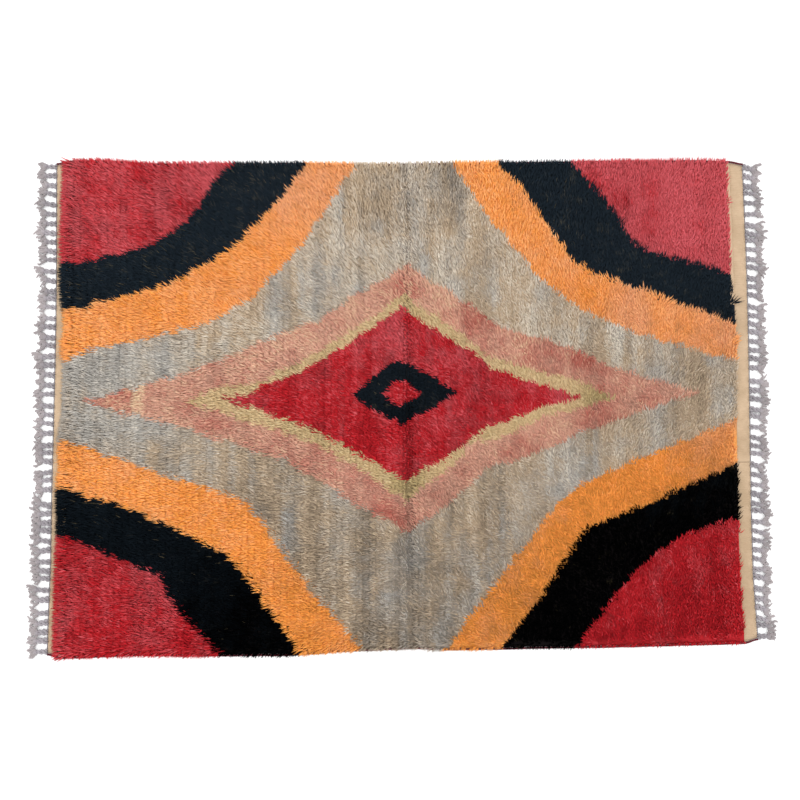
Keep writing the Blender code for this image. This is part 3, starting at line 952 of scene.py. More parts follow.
def grown(name, source, tree, values):
    """Runs a node tree on a source mesh and keeps what it makes as a plain mesh."""
    seedbed = new_piece(f"{name}_source", source)
    modifier = seedbed.modifiers.new("Grow", "NODES")
    modifier.node_group = tree
    for item in tree.interface.items_tree:
        if item.in_out == "INPUT" and item.name in values:
            modifier[item.identifier] = values[item.name]
    seedbed.update_tag()
    graph = bpy.context.evaluated_depsgraph_get()
    mesh = bpy.data.meshes.new_from_object(seedbed.evaluated_get(graph))
    if not mesh.polygons:
        raise RuntimeError(f"{name}: the node tree made nothing")
    seedbed.modifiers.remove(modifier)
    bpy.data.objects.remove(seedbed)
    for key in (*PLACE_VALUES, "along", "shape"):
        if key in mesh.attributes:
            mesh.attributes.remove(mesh.attributes[key])
    mesh.name = name
    return new_piece(name, mesh)


# What each place of a lock or bundle carries into its node tree.
PLACE_VALUES = ("heading", "tilt", "roll", "long", "wide", "dye", "shade")


def planted(name, tree, points, places, shape, values):
    """Plants one of the tree's shapes at each point, each as its place says."""
    source = new_mesh("places", points, [], {key: places[key] for key in PLACE_VALUES})
    layer = source.attributes.new("shape", "INT", "POINT")
    layer.data.foreach_set("value", shape.astype(np.int32))
    return grown(name, source, tree, values)


def hidden_shapes(name, meshes):
    """A collection outside the scene that holds the shapes a tree picks from."""
    shapes = bpy.data.collections.new(name)
    for mesh in meshes:
        shapes.objects.link(bpy.data.objects.new(mesh.name, mesh))
    return shapes


def new_tree(name, inputs):
    """A Geometry Nodes tree that makes a mesh: the tree, its way to add a node, and its inputs."""
    tree = bpy.data.node_groups.new(name, "GeometryNodeTree")
    for title, kind in inputs.items():
        tree.interface.new_socket(title, in_out="INPUT", socket_type=f"NodeSocket{kind}")
    tree.interface.new_socket("Mesh", in_out="OUTPUT", socket_type="NodeSocketGeometry")
    return tree, partial(add_node, tree), add_node(tree, "NodeGroupInput").outputs


def planting_tree(name):
    """A tree that plants one of the shapes at each place, leant, turned and sized as the place says,
    and keeps its dye and its shade as a map, the shade growing along it by the given fade."""
    sizes = {key: "Float" for key in ("Length", "Width", "Uneven", "Fade")}
    inputs = {"Places": "Geometry", "Shapes": "Collection", **sizes, "Seed": "Int", "Yarn": "Material"}
    tree, add, given = new_tree(name, inputs)
    carried = {key: add(ATTRIBUTE, {"Name": key}) for key in (*PLACE_VALUES, "along")}
    shape = add(ATTRIBUTE, {"Name": "shape"}, data_type="INT")
    turn = add(COMBINE, [carried["roll"], carried["tilt"], carried["heading"]])
    least = add(MATH, [1.0, given["Uneven"]], operation="SUBTRACT")
    most = add(MATH, [1.0, given["Uneven"]], operation="ADD")
    between = {2: least, 3: most, "Seed": given["Seed"]}
    stray = add("FunctionNodeRandomValue", between, data_type="FLOAT")
    own_length = add(MATH, [carried["long"], stray], operation="MULTIPLY")
    length = add(MATH, [own_length, given["Length"]], operation="MULTIPLY")
    width = add(MATH, [carried["wide"], given["Width"]], operation="MULTIPLY")
    planting = {
        "Points": given["Places"],
        "Instance": add("GeometryNodeCollectionInfo", [given["Shapes"], True, True]),
        "Pick Instance": True,
        "Instance Index": shape,
        "Rotation": add("FunctionNodeEulerToRotation", [turn]),
        "Scale": add(COMBINE, [length, width, length]),
    }
    whole = add("GeometryNodeRealizeInstances", [add("GeometryNodeInstanceOnPoints", planting)])
    fade = [carried["along"], given["Fade"], carried["shade"]]
    shade = add(MATH, fade, operation="MULTIPLY_ADD")
    dyed = add(COMBINE, [carried["dye"], shade])
    kept = {"Geometry": whole, "Name": DYE_MAP, "Value": dyed}
    mapped = add("GeometryNodeStoreNamedAttribute", kept, data_type="FLOAT2", domain="CORNER")
    finished = add("GeometryNodeSetMaterial", {"Geometry": mapped, "Material": given["Yarn"]})
    add("NodeGroupOutput", [finished])
    return tree


# Where along a lock it is widest, and its thickness there as a share of its length.
LOCK_MIDDLE = 0.46
LOCK_THICKNESS = 0.07
# Lean from upright at the knot and at the tip in degrees, and how far the tip strays sideways.
LOCK_SHAPES = ((34, 84, 0.0), (42, 90, 0.7), (30, 78, -0.7), (40, 96, 0.3))


def lock_mesh(name, root_lean, tip_lean, stray):
    """One lock of pile yarn, a bent three-sided spindle of unit length and width."""
    shares = (0.0, LOCK_MIDDLE, 1.0)
    leans = [
        np.radians(root_lean + (tip_lean - root_lean) * np.linspace(0, share, 12)) for share in shares
    ]
    places = [
        (share * np.sin(lean).mean(), stray * share * share, share * np.cos(lean).mean())
        for share, lean in zip(shares, leans)
    ]
    x, y, z = places[1]
    end = leans[1][-1]
    ring = []
    for across, up in ((-0.5, -1 / 3), (0.5, -1 / 3), (0.0, 2 / 3)):
        up *= LOCK_THICKNESS
        ring.append((x - up * math.cos(end), y + across, z + up * math.sin(end)))
    vertices = [places[0], *ring, places[2]]
    faces = []
    for i in range(3):
        j = (i + 1) % 3
        faces.append((0, 1 + i, 1 + j))
        faces.append((4, 1 + j, 1 + i))
    return new_mesh(name, vertices, faces, {"along": [0.0, *[LOCK_MIDDLE] * 3, 1.0]})


def face_outward(mesh):
    """Turns a closed mesh's faces outward."""
    bm = bmesh.new()
    bm.from_mesh(mesh)
    bmesh.ops.recalc_face_normals(bm, faces=bm.faces)
    bm.to_mesh(mesh)
    bm.free()
    return mesh


class RUG_OT_stage(bpy.types.Operator):
    """Lay the pale floor and set up the soft light and the camera"""

    bl_idname = "rug.stage"
    bl_label = "Stage"

    def execute(self, context):
        stage = context.scene.rug_stage
        half = stage.floor_size / 2
        corners = [(-half, -half, 0), (half, -half, 0), (half, half, 0), (-half, half, 0)]
        mesh = new_mesh("floor", corners, [(0, 1, 2, 3)], smooth=False)
        paper, _ = matt_material("white_paper_sweep", roughness=1.0, gloss=0.0)
        mesh.materials.append(coloured(paper, (*stage.floor_colour, 1.0)))
        new_piece("floor", mesh)

        world = bpy.data.worlds.new("white_surroundings")
        world.use_nodes = True
        sky = world.node_tree.nodes["Background"]
        sky.inputs["Color"].default_value = (1.0, 1.0, 1.0, 1.0)
        sky.inputs["Strength"].default_value = stage.sky_strength
        context.scene.world = world

        light = bpy.data.lights.new("soft_key", "AREA")
        light.shape = "SQUARE"
        light.size = stage.key_size
        light.energy = stage.key_power
        key = new_piece("soft_key", light)
        key.location = KEY_PLACE
        key.rotation_euler = [math.radians(turn) for turn in KEY_TURN]

        lens = bpy.data.cameras.new("camera")
        lens.lens = CAMERA_LENS
        lens.sensor_width = CAMERA_SENSOR
        lens.clip_end = 100.0
        camera = new_piece("camera", lens)
        camera.location = CAMERA_PLACE
        camera.rotation_euler = [math.radians(turn) for turn in CAMERA_TURN]
        context.scene.camera = camera
        context.scene.view_settings.view_transform = "Standard"
        return {"FINISHED"}


def lay_locks(pile, knots):
    """Three locks from each knot, leaning a little apart: where they are tied, what the place of
    each carries, and which shape each has."""
    rng = np.random.default_rng(pile.seed + 1)
    second, tone = dye_knots(knots)
    count = knots["u"].size
    each = np.repeat(np.arange(count), 3)
    side = np.tile([-1.0, 0.0, 1.0], count)
    take = {key: values[each] for key, values in knots.items()}
    size = each.size
    mess = take["mess"]
    apart = (FAN + MESSY_FAN * mess) * side + rng.normal(0, 6, size) * (1 + 2 * mess)
    heading = take["heading"] + np.radians(apart)
    u = take["u"] + LOCKS_APART * side * -np.sin(take["heading"])
    v = take["v"] + LOCKS_APART * side * np.cos(take["heading"])
    mixed = np.array([LOTS_AND_SHEEN[name].mixed for name in WOOLS])[take["wool"]]
    shade = tone[each] + mixed * rng.normal(0, 1, size)
    dye = second[each] + 1.2 * mixed * rng.normal(0, 1, size)
    inside_rims = np.clip((take["u"] + PILE_HALF_LENGTH) / 0.05, 0, 1)
    take["length"] = take["length"] * (1 + 0.12 * inside_rims * rng.normal(0, 1, size))
    long = shorn(take, heading, pile.lock_length)
    wide = rng.uniform(0.75, 1.2, size)
    upright = take["upright"] + rng.normal(0, 5, size)

    # Fine pale and dark hairs, khaki flecks in the black, and stray fibres across the pile.
    black = take["wool"] == WOOLS.index("black")
    draw = rng.uniform(0, 1, size)
    pale = ~black & (draw < PALE_HAIRS)
    dark = ~black & (draw > 1 - DARK_HAIRS)
    khaki_here = np.clip(0.5 + take["v"] - 0.9 * take["u"], 0, 1.6)
    khaki = black & (draw < KHAKI_FLECKS * khaki_here)
    shade = shade + 0.14 * pale - 0.12 * dark
    shade[khaki] = 0.80 + 0.15 * draw[khaki]
    wide = wide * np.where(pale | dark | khaki, 0.55, 1.0)
    stray = ~black & (rng.uniform(0, 1, size) < STRAYS)
    heading = np.where(stray, rng.uniform(-np.pi, np.pi, size), heading)
    shade = np.where(stray, 0.85, shade)
    wide = np.where(stray, 0.45, wide)
    upright = np.maximum(np.where(stray, 5.0, upright), FLATTEST)
    # A lock stands up by about 0.56 of its length, and more where it is more upright.
    rise = pile.lock_length * (0.56 + 0.013 * np.maximum(upright, -10))
    places = {
        "heading": heading,
        "tilt": -np.radians(upright),
        "roll": np.radians(rng.normal(0, 9, size)),
        "long": np.minimum(long, HIGHEST_TIP / rise),
        "wide": wide,
        "dye": np.clip(dye, 0.01, 0.99),
        "shade": np.clip(shade, PILE_ROOT_SHADE + 0.01, 0.99) - PILE_ROOT_SHADE,
        "wool": take["wool"],
        "left": take["u"] < FOLD_U,
    }
    return on_cloth(u, v, KNOT_HEIGHT), places, rng.integers(0, len(LOCK_SHAPES), size)


class RUG_OT_pile(bpy.types.Operator):
    """Tie the knotted pile, one piece for each wool and half of the rug"""

    bl_idname = "rug.pile"
    bl_label = "Knotted pile"

    def execute(self, context):
        pile = context.scene.rug_pile
        points, places, shape = lay_locks(pile, lay_knots(pile))
        meshes = [face_outward(lock_mesh(f"lock_{i}", *lock)) for i, lock in enumerate(LOCK_SHAPES)]
        values = {
            "Shapes": hidden_shapes("lock_shapes", meshes),
            "Length": pile.lock_length,
            "Width": pile.lock_width,
            "Uneven": pile.uneven,
            "Fade": PILE_ROOT_SHADE,
            "Seed": pile.seed,
        }
        tree = planting_tree("plant_pile")
        for number, name in enumerate(WOOLS):
            values["Yarn"] = pile_wool(name, context.scene.rug_wools)
            for half, here in (("left", places["left"]), ("right", ~places["left"])):
                mine = (places["wool"] == number) & here
                own = {key: value[mine] for key, value in places.items()}
                piece = planted(f"pile_{name}_{half}", tree, points[mine], own, shape[mine], values)
                put_on_rug(piece, "pile_field")
        return {"FINISHED"}


def slab_mesh(name, us, vs, top):
    """A thin closed sheet over a grid of the flat cloth, its top given for each place of the grid
    and its underside on the floor."""
    columns = len(us)
    rows = len(vs)
    u, v = np.meshgrid(us, vs, indexing="ij")
    upper = on_cloth(u.ravel(), v.ravel(), top.ravel())
    around = [i * rows for i in range(columns)]
    around += [(columns - 1) * rows + j for j in range(1, rows)]
    around += [i * rows + rows - 1 for i in reversed(range(columns - 1))]
    around += reversed(range(1, rows - 1))
    lower = on_cloth(u.ravel()[around], v.ravel()[around], 0.0)
    faces = []
    for i in range(columns - 1):
        for j in range(rows - 1):
            a = i * rows + j
            faces.append((a, a + rows, a + rows + 1, a + 1))
    offset = columns * rows
    count = len(around)
    for i in range(count):
        j = (i + 1) % count
        faces.append((around[j], around[i], offset + i, offset + j))
    faces.append(tuple(offset + i for i in reversed(range(count))))
    return new_mesh(name, np.vstack([upper, lower]), faces)


def ground_wool(wools, weave):
    """The knotted ground deep in the pile: the same wools, in the shade of the locks above them, and
    the bare cloth of the band where the pile ends short of it."""
    material, add = matt_material("knotted_ground", roughness=1.0)
    dye, tone, _ = add(SEPARATE, [add("ShaderNodeUVMap", uv_map=DYE_MAP)]).outputs
    count = len(WOOLS) + 1
    stops = []
    for i, name in enumerate(WOOLS):
        stops.append(((i + 0.02) / count, getattr(wools, f"{name}_first")))
        stops.append(((i + 0.98) / count, getattr(wools, f"{name}_second")))
    stops.append(((count - 0.98) / count, scaled(weave.band_colour, 1.15)))
    dyed = add(RAMP, [dye], stops)
    depth = add(RAMP, [tone], [(0.0, [0.12] * 3), (1.0, [0.85] * 3)])
    colour = add(MIX, {0: 1.0, 6: dyed, 7: depth}, data_type="RGBA", blend_type="MULTIPLY")
    where = add("ShaderNodeTexCoord").outputs["Object"]
    knots = add("ShaderNodeTexVoronoi", {"Vector": where, "Scale": 1 / weave.warp_pitch})
    return coloured(material, colour, knots, strength=0.6, distance=0.002)


# The ground's grid, its height at the edges of the field, and how much higher it lies inside them.
GROUND_CELL = 0.016
GROUND_HEIGHT = 0.0032
GROUND_RISE = 0.0048


class RUG_OT_ground(bpy.types.Operator):
    bl_idname = "rug.ground"
    bl_label = "Ground"

    def execute(self, context):
        scene = context.scene
        us, vs = (
            np.linspace(-half, half, round(2 * half / GROUND_CELL) + 1)
            for half in (PILE_HALF_LENGTH, PILE_HALF_WIDTH)
        )
        u, v = np.meshgrid(us, vs, indexing="ij")
        inward = np.min(list(rim_distances(u, v).values()), axis=0)
        flat = 1 - np.clip(fold_at(u, v) * 1.2, 0, 1)
        height = GROUND_RISE * np.clip(inward / 0.03, 0, 1) * flat
        top = GROUND_HEIGHT + height + 0.0005 * cloudy(u, v, 0.06, 0.06, 51)
        mesh = slab_mesh("knotted_ground", us, vs, top)
        mesh.materials.append(ground_wool(scene.rug_wools, scene.rug_weave))

        # Each face takes the wool of the locks that lie over it.
        u, v, _ = np.array([tuple(p.center) for p in mesh.polygons]).T
        heading, _, _, length = nap_at(u, v)
        lean = 0.5 * length * scene.rug_pile.lock_length
        seen_u = u + lean * np.cos(heading)
        seen_v = v + lean * np.sin(heading)
        wool = wool_at(seen_u, seen_v)
        places = {"u": u, "v": v, "seen_u": seen_u, "seen_v": seen_v, "wool": wool}
        second, tone = dye_knots(places)
        # Where the pile ends short of the right end, the ground is bare.
        bare = PILE_HALF_LENGTH - u < -rim_overhangs(u, v)["right"]
        wool = np.where(bare, len(WOOLS), wool)
        tone = np.where(bare, 0.5, tone)
        dye = (wool + np.clip(second, 0.04, 0.96)) / (len(WOOLS) + 1)
        # Painted shade: the ground is dark as deep in the pile, darker where the tone is low and darkest
        # along the old fold.
        shade = (0.3 + 1.4 * np.clip(tone, 0, 0.5)) * (1 - 0.7 * fold_at(u, v))
        layer = mesh.uv_layers.new(name=DYE_MAP)
        corner_face = np.repeat(np.arange(len(mesh.polygons)), [p.loop_total for p in mesh.polygons])
        pairs = np.stack([dye[corner_face], shade[corner_face]], axis=1)
        layer.data.foreach_set("uv", pairs.ravel().astype(np.float32))

        piece = put_on_rug(new_piece("knotted_ground", mesh), "pile_field")
        return {"FINISHED"}


# Where the right end band was woven on with another yarn, and half the width of the join.
JOIN_V = -0.234
JOIN_HALF_WIDTH = 0.002


def band_weave(weave):
    """Plain weft-faced weave in undyed wool: fine ribs across the band over the thicker warps, a
    little soiled, and a shade darker in front of the join in the right band."""
    material, add = matt_material("undyed_wool_weave", sheen=0.15)
    where = add("ShaderNodeTexCoord").outputs["Object"]
    slubs = {"Vector": where, "Distortion": 1.2, "Detail": 2.0, "Detail Scale": 2.0}
    ribs = {**slubs, "Scale": WAVE_PERIOD / weave.weft_pitch}
    wefts = add(WAVE, ribs, bands_direction="X").outputs["Fac"]
    ribs = {"Vector": where, "Scale": WAVE_PERIOD / weave.warp_pitch, "Distortion": 0.8}
    warps = add(WAVE, ribs, bands_direction="Y").outputs["Fac"]
    clouds = {"Vector": where, "Scale": 9.0, "Detail": 5.0, "Roughness": 0.65}
    soil = add(NOISE, clouds)

    x, y, _ = add(SEPARATE, [where]).outputs
    right = add(MATH, [x, 0.0], operation="GREATER_THAN")
    front = add(MATH, [y, JOIN_V], operation="LESS_THAN")
    other = add(MATH, [right, front], operation="MULTIPLY")
    grime = add(MATH, [other, -0.10, soil], operation="MULTIPLY_ADD")
    at_join = add(MATH, [y, JOIN_V, JOIN_HALF_WIDTH], operation="COMPARE")
    join = add(MATH, [at_join, right], operation="MULTIPLY")

    tone = add(RAMP, [grime], [(0.36, weave.band_shade), (0.62, weave.band_colour)])
    join_colour = (*scaled(weave.band_shade, 0.75), 1.0)
    joined = add(MIX, {0: join, 6: tone, 7: join_colour}, data_type="RGBA")
    # Painted shade in the grooves between the wefts.
    grooves = add(RAMP, [wefts], [(0.0, [0.86] * 3), (0.6, [1.0] * 3)])
    layers = {0: 1.0, 6: joined, 7: grooves}
    colour = add(MIX, layers, data_type="RGBA", blend_type="MULTIPLY")
    relief = add(MATH, [wefts, 0.6, warps], operation="MULTIPLY_ADD")
    return coloured(material, colour, relief, strength=0.7, distance=0.0009)


# A band's grid, as shares of its width and as places along it, closer at its rounded rims; and its
# height at the rims, how much higher it is between them, and its waves.
BAND_GRID = (0.0, 0.04, 0.15, 0.3, 0.45, 0.6, 0.75, 0.88, 0.97, 1.0)
BAND_ROWS = 110
BAND_RIM = 0.0012
BAND_RISE = 0.0014
BAND_WAVES = 0.0004


class RUG_OT_end_bands(bpy.types.Operator):
    """Weave the plain band across each end"""

    bl_idname = "rug.end_bands"
    bl_label = "End bands"

    def execute(self, context):
        weave = band_weave(context.scene.rug_weave)
        reach = np.array(BAND_GRID) * BAND_WIDTH + HALF_LENGTH - BAND_WIDTH
        vs = np.linspace(-PILE_HALF_WIDTH, PILE_HALF_WIDTH, BAND_ROWS)
        for end in RUG_ENDS:
            us = reach if end.out > 0 else -reach[::-1]
            u, v = np.meshgrid(us, vs, indexing="ij")
            rounded = 1 - np.abs((np.abs(u) - HALF_LENGTH + BAND_WIDTH / 2) / (BAND_WIDTH / 2)) ** 6
            top = BAND_RIM + BAND_RISE * rounded + BAND_WAVES * cloudy(u, v, 0.05, 0.07, 61)
            mesh = slab_mesh(f"end_weave_{end.name}", us, vs, top)
            mesh.materials.append(weave)
            piece = new_piece(f"end_weave_{end.name}", mesh)
            put_on_rug(piece, f"end_band_{end.name}")
        return {"FINISHED"}


def cord_tree(name):
    """A tree that lays a wrapped cord along a line of points, swelling at each turn of the wrap."""
    sizes = {key: "Float" for key in ("Thickness", "Wrap pitch", "Swell")}
    tree, add, given = new_tree(name, {"Line": "Geometry", **sizes, "Sides": "Int", "Yarn": "Material"})
    line = add("GeometryNodeMeshToCurve", [given["Line"]])
    radius = add(MATH, [given["Thickness"], 0.5], operation="MULTIPLY")
    ring = add("GeometryNodeCurvePrimitiveCircle", {"Resolution": given["Sides"], "Radius": radius})
    length = add("GeometryNodeSplineParameter").outputs["Length"]
    turns = add(MATH, [length, given["Wrap pitch"]], operation="DIVIDE")
    angle = add(MATH, [turns, math.tau], operation="MULTIPLY")
    wave = add(MATH, [angle], operation="SINE")
    swell = add(MATH, [wave, given["Swell"], 1.0], operation="MULTIPLY_ADD")
    cord = add("GeometryNodeCurveToMesh", [line, ring, swell, True])
    whole = add("GeometryNodeRealizeInstances", [add("GeometryNodeSetShadeSmooth", [cord])])
    finished = add("GeometryNodeSetMaterial", {"Geometry": whole, "Material": given["Yarn"]})
    add("NodeGroupOutput", [finished])
    return tree


def line_mesh(name, points):
    """A line of points joined by edges."""
    mesh = bpy.data.meshes.new(name)
    edges = [(i, i + 1) for i in range(len(points) - 1)]
    mesh.from_pydata(points.tolist(), edges, [])
    return mesh


def wrapped_yarn(name, colour, shade, pitch, direction):
    """Yarn wound round and round a cord: fine turns across it, with painted shade in the grooves between
    them.
    """
    material, add = matt_material(name, sheen=0.2)
    where = add("ShaderNodeTexCoord").outputs["Object"]
    slubs = {"Distortion": 1.5, "Detail": 2.0, "Detail Scale": 3.0}
    waves = {"Vector": where, "Scale": WAVE_PERIOD / pitch, **slubs}
    turns = add(WAVE, waves, bands_direction=direction).outputs["Fac"]
    tone = add(RAMP, [turns], [(0.15, shade), (0.7, colour)])
    return coloured(material, tone, turns, strength=0.6, distance=0.0008)


# How far a wrapped cord swells at each turn.
WRAP_SWELL = 0.10


class RUG_OT_selvedges(bpy.types.Operator):
    """Wrap the cord along each long edge"""

    bl_idname = "rug.selvedges"
    bl_label = "Selvedges"

    def execute(self, context):
        weave = context.scene.rug_weave
        tree = cord_tree("wrapped_cord")
        yarn = wrapped_yarn(
            "maroon_wrapped_wool", weave.selvedge_colour, weave.selvedge_shade, weave.wrap_pitch / 2, "X"
        )
        values = {
            "Thickness": SELVEDGE_HEIGHT,
            "Wrap pitch": weave.wrap_pitch,
            "Swell": WRAP_SWELL,
            "Sides": 8,
            "Yarn": yarn,
        }
        us = np.arange(-HALF_LENGTH, HALF_LENGTH + 0.002, weave.wrap_pitch / 2)
        for name, out in (("front", -1), ("back", 1)):
            vs = out * (HALF_WIDTH - SELVEDGE_WIDTH / 2) + 0.0006 * cloudy(us, 0 * us, 0.04, 1, 71 + out)
            line = line_mesh("line", on_cloth(us, vs, SELVEDGE_HEIGHT / 2 * (1 + WRAP_SWELL)))
            piece = grown(f"selvedge_cord_{name}", line, tree, values)
            put_on_rug(piece, f"selvedge_{name}")
        return {"FINISHED"}


def bundle_places(end, rng):
    """The v of each bundle's root: an even pitch, a little jitter, and the few wider gaps."""
    pitch = CLOTH_WIDTH / BUNDLES
    places = []
    for i in range(BUNDLES):
        v = -HALF_WIDTH + pitch * (i + 0.5)
        for gap in end.gaps:
            away = (v - gap) / GAP_REACH
            v += math.copysign(GAP_SPREAD, away) * math.exp(-away * away)
        places.append(v + BUNDLE_JITTER * rng.uniform(-1, 1))
    return places


def bundle_lean(v, rng):
    """The slope sideways of a bundle, mostly shared with its neighbours."""
    shared = math.sin(math.tau * v / 0.23) + 0.6 * math.sin(math.tau * v / 0.61 + 1.0)
    return BUNDLE_LEAN * shared / 1.6 + BUNDLE_LEAN_JITTER * rng.uniform(-1, 1)


def gathered(roots, rng):
    """How far sideways each bundle leans to meet its neighbours: two, three or four of them lie
    together, with a gap before the next group."""
    leans = []
    while len(leans) < len(roots):
        first = len(leans)
        size = min(rng.choice((1, 2, 2, 3, 3, 4)), len(roots) - first)
        group = roots[first : first + size]
        middle = sum(group) / size + rng.uniform(-0.012, 0.012)
        leans.extend(GATHER * (middle - v) / BUNDLE_REACH for v in group)
    return leans


def yarn_tube(path, radii, sides):
    """Vertices and faces of a closed yarn along a path."""
    ahead = np.gradient(path, axis=0)
    ahead /= np.linalg.norm(ahead, axis=1, keepdims=True)
    across = np.cross(ahead, (0.0, 0.0, 1.0))
    across /= np.linalg.norm(across, axis=1, keepdims=True) + 1e-12
    up = np.cross(across, ahead)
    turn = math.tau * np.arange(sides) / sides
    ring = across[:, None] * np.cos(turn)[:, None] + up[:, None] * np.sin(turn)[:, None]
    vertices = (path[:, None] + ring * radii[:, None, None]).reshape(-1, 3)
    faces = [tuple(range(sides))[::-1]]
    for step in range(len(path) - 1):
        for i in range(sides):
            j = (i + 1) % sides
            a = step * sides
            faces.append((a + i, a + j, a + sides + j, a + sides + i))
    last = (len(path) - 1) * sides
    faces.append(tuple(last + i for i in range(sides)))
    return vertices, faces


# Where a bundle's plies gather, swell in their loose knot and end, as shares of its reach.
KNOT_START = 0.52
KNOT_END = 0.70
TAILS = 8
BUNDLE_SHAPES = 6


def bundle_yarns(seed):
    """The yarns of one bundle of warps along +X, all sizes as shares of its length: two thick twisted
    plies, a loose knot and a few soft curling tails. Each is its path, its radii, how many sides it
    has, and where along the bundle its shade starts and ends."""
    rng = random.Random(seed)
    yarns = []
    ply_steps = np.linspace(-0.03, KNOT_START + 0.03, 9)
    for ply in range(2):
        phase = math.tau * (ply / 2 + seed * 0.17)
        turn = phase + ply_steps * 12
        spread = 0.046 + 0.034 * (1 - ply_steps / KNOT_START)
        height = 0.050 + 0.5 * spread * np.sin(turn)
        path = np.stack([ply_steps, spread * np.cos(turn), height], axis=1)
        yarns.append((path, np.full(9, 0.056), 5, 0.0, 0.35))
    knot_steps = np.linspace(KNOT_START - 0.03, KNOT_END, 5)
    knot_path = np.stack([knot_steps, 0.010 * np.sin(knot_steps * 40), np.full(5, 0.076)], axis=1)
    yarns.append((knot_path, np.array([0.060, 0.084, 0.090, 0.084, 0.060]), 7, 0.35, 0.6))
    for tail in range(TAILS):
        side = (tail - (TAILS - 1) / 2) / ((TAILS - 1) / 2)
        end = rng.uniform(0.84, 1.06)
        steps = np.linspace(KNOT_END - 0.16, end, 8)
        share = (steps - steps[0]) / (steps[-1] - steps[0])
        fan = side * 0.15 + rng.uniform(-0.12, 0.12)
        curl = rng.uniform(0.03, 0.10)
        turns = rng.uniform(3.0, 7.0)
        phase = rng.uniform(0, math.tau)
        y = 0.050 * side + fan * share ** 0.7 + curl * share * np.sin(turns * share + phase)
        z = 0.052 * (1 - share) + 0.034 + 0.026 * np.abs(np.sin(turns * 0.7 * share + phase)) * share
        thick = 0.058 - 0.026 * share ** 1.5
        yarns.append((np.stack([steps, y, z], axis=1), thick, 4, 0.5, 1.0))
    return yarns


def bundle_mesh(name, seed):
    """One bundle of warps of unit length, lying on the floor."""
    vertices = []
    faces = []
    along = []
    for path, radii, sides, start, finish in bundle_yarns(seed):
        points, quads = yarn_tube(path, radii, sides)
        offset = len(vertices)
        vertices.extend(points.tolist())
        faces.extend(tuple(i + offset for i in face) for face in quads)
        steps = np.repeat(np.linspace(start, finish, len(path)), sides)
        along.extend(steps.tolist())
    lowest = min(z for x, y, z in vertices)
    vertices = [(x, y, z - lowest) for x, y, z in vertices]
    return face_outward(new_mesh(name, vertices, faces, {"along": along}))


def warp_yarn(fringe):
    """Undyed wool and hair warp yarn: pale where it is twisted, dull and fuzzy where it has frayed."""
    material, add = matt_material("undyed_warp_yarn", sheen=0.3)
    root = fringe.root_colour
    tail = fringe.tail_colour
    dye, along, _ = add(SEPARATE, [add("ShaderNodeUVMap", uv_map=DYE_MAP)]).outputs
    worn_stops = [(0.0, scaled(root, 0.9)), (0.35, root), (0.6, tail), (1.0, scaled(tail, 1.3))]
    along_change = add(RAMP, [along], worn_stops)
    tone = add(RAMP, [dye], [(0.0, [0.80] * 3), (1.0, [1.1] * 3)])
    colour = add(MIX, {0: 1.0, 6: along_change, 7: tone}, data_type="RGBA", blend_type="MULTIPLY")
    where = add("ShaderNodeTexCoord").outputs["Object"]
    fibres = add(NOISE, {"Vector": where, "Scale": 420.0, "Detail": 3.0})
    return coloured(material, colour, fibres, strength=0.5, distance=0.001)


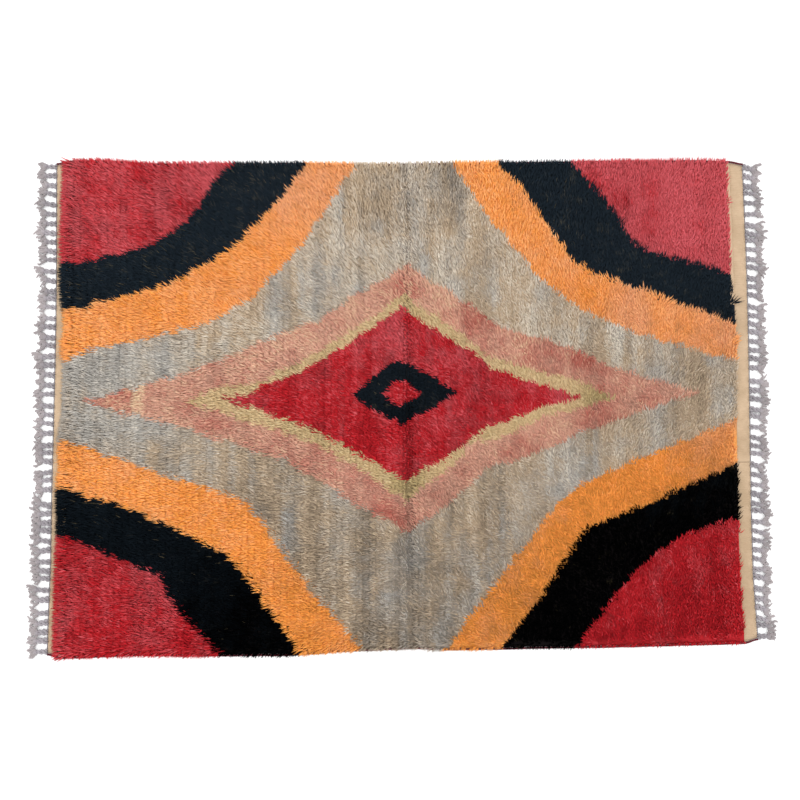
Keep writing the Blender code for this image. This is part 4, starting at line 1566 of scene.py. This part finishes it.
class RUG_OT_fringes(bpy.types.Operator):
    """Knot the warp ends at both ends of the rug"""

    bl_idname = "rug.fringes"
    bl_label = "Fringes"

    def execute(self, context):
        fringe = context.scene.rug_fringe
        yarn = warp_yarn(fringe)
        meshes = [bundle_mesh(f"bundle_{i}", i) for i in range(BUNDLE_SHAPES)]
        shapes = hidden_shapes("bundle_shapes", meshes)
        planting = planting_tree("plant_fringe")
        cord = cord_tree("fringe_edge_cord")
        values = {
            "Shapes": shapes,
            "Length": fringe.reach + STRIP_WIDTH / 2,
            "Width": fringe.reach,
            "Uneven": fringe.uneven,
            "Fade": 1.0,
            "Seed": fringe.seed,
            "Yarn": yarn,
        }
        twined = {"Thickness": EDGE_THICKNESS, "Wrap pitch": EDGE_TURNS, "Swell": 0.06, "Sides": 6}
        edge_v = np.arange(-HALF_WIDTH, HALF_WIDTH + 0.002, 0.004)
        for end in RUG_ENDS:
            rng = random.Random(end.seed)
            roots = bundle_places(end, rng)
            together = gathered(roots, rng)
            leans = [
                bundle_lean(v, rng) + lean + end.lean + end.lean_v * v for v, lean in zip(roots, together)
            ]
            own = np.random.default_rng(fringe.seed + end.seed)
            level = np.zeros(BUNDLES)
            places = {
                "heading": np.arctan2(leans, end.out),
                "tilt": level,
                "roll": level,
                "long": own.uniform(*BUNDLE_LENGTHS, BUNDLES),
                "wide": own.uniform(*BUNDLE_WIDTHS, BUNDLES),
                "dye": own.uniform(0, 1, BUNDLES),
                "shade": level,
            }
            shape = own.integers(0, BUNDLE_SHAPES, BUNDLES)
            root_u = end.out * (HALF_LENGTH + CLEARANCE + STRIP_WIDTH / 2)
            points = on_cloth(root_u, roots, 0.0)
            bundles = planted(f"warp_bundles_{end.name}", planting, points, places, shape, values)
            edge_u = end.out * (HALF_LENGTH + CLEARANCE + EDGE_OFF)
            line = line_mesh("line", on_cloth(edge_u, edge_v, EDGE_HEIGHT))
            edge = grown(f"warp_edge_{end.name}", line, cord, {**twined, "Yarn": yarn})
            for piece in (bundles, edge):
                put_on_rug(piece, f"fringe_{end.name}")
        return {"FINISHED"}


class RUG_PT_panel(bpy.types.Panel):
    """The rug's pieces, each with its sizes and colours"""

    bl_idname = "RUG_PT_panel"
    bl_label = "Berber rug"
    bl_space_type = "VIEW_3D"
    bl_region_type = "UI"
    bl_category = "Rug"

    def draw(self, context):
        for operator, group in PANEL_ROWS:
            box = self.layout.box()
            settings = getattr(context.scene, group)
            for key in settings.bl_rna.properties.keys():
                if key not in ("rna_type", "name"):
                    box.prop(settings, key)
            box.operator(operator.bl_idname)


SETTINGS = {
    "rug_pile": RugPile,
    "rug_wools": RugWools,
    "rug_weave": RugWeave,
    "rug_fringe": RugFringe,
    "rug_stage": RugStage,
}
# The operators in the order they run, each with the settings that its box of the panel shows.
PANEL_ROWS = (
    (RUG_OT_stage, "rug_stage"),
    (RUG_OT_pile, "rug_pile"),
    (RUG_OT_ground, "rug_wools"),
    (RUG_OT_end_bands, "rug_weave"),
    (RUG_OT_selvedges, "rug_weave"),
    (RUG_OT_fringes, "rug_fringe"),
)
OPERATORS = [operator for operator, _ in PANEL_ROWS]


def register():
    for group in SETTINGS.values():
        bpy.utils.register_class(group)
    for cls in (*OPERATORS, RUG_PT_panel):
        bpy.utils.register_class(cls)
    for name, group in SETTINGS.items():
        setattr(bpy.types.Scene, name, bpy.props.PointerProperty(type=group))


def unregister():
    for name in SETTINGS:
        delattr(bpy.types.Scene, name)
    for cls in (RUG_PT_panel, *reversed(OPERATORS), *SETTINGS.values()):
        bpy.utils.unregister_class(cls)


def main():
    register()
    bpy.ops.rug.stage()
    bpy.ops.rug.pile()
    bpy.ops.rug.ground()
    bpy.ops.rug.end_bands()
    bpy.ops.rug.selvedges()
    bpy.ops.rug.fringes()


if __name__ == "__main__":
    main()
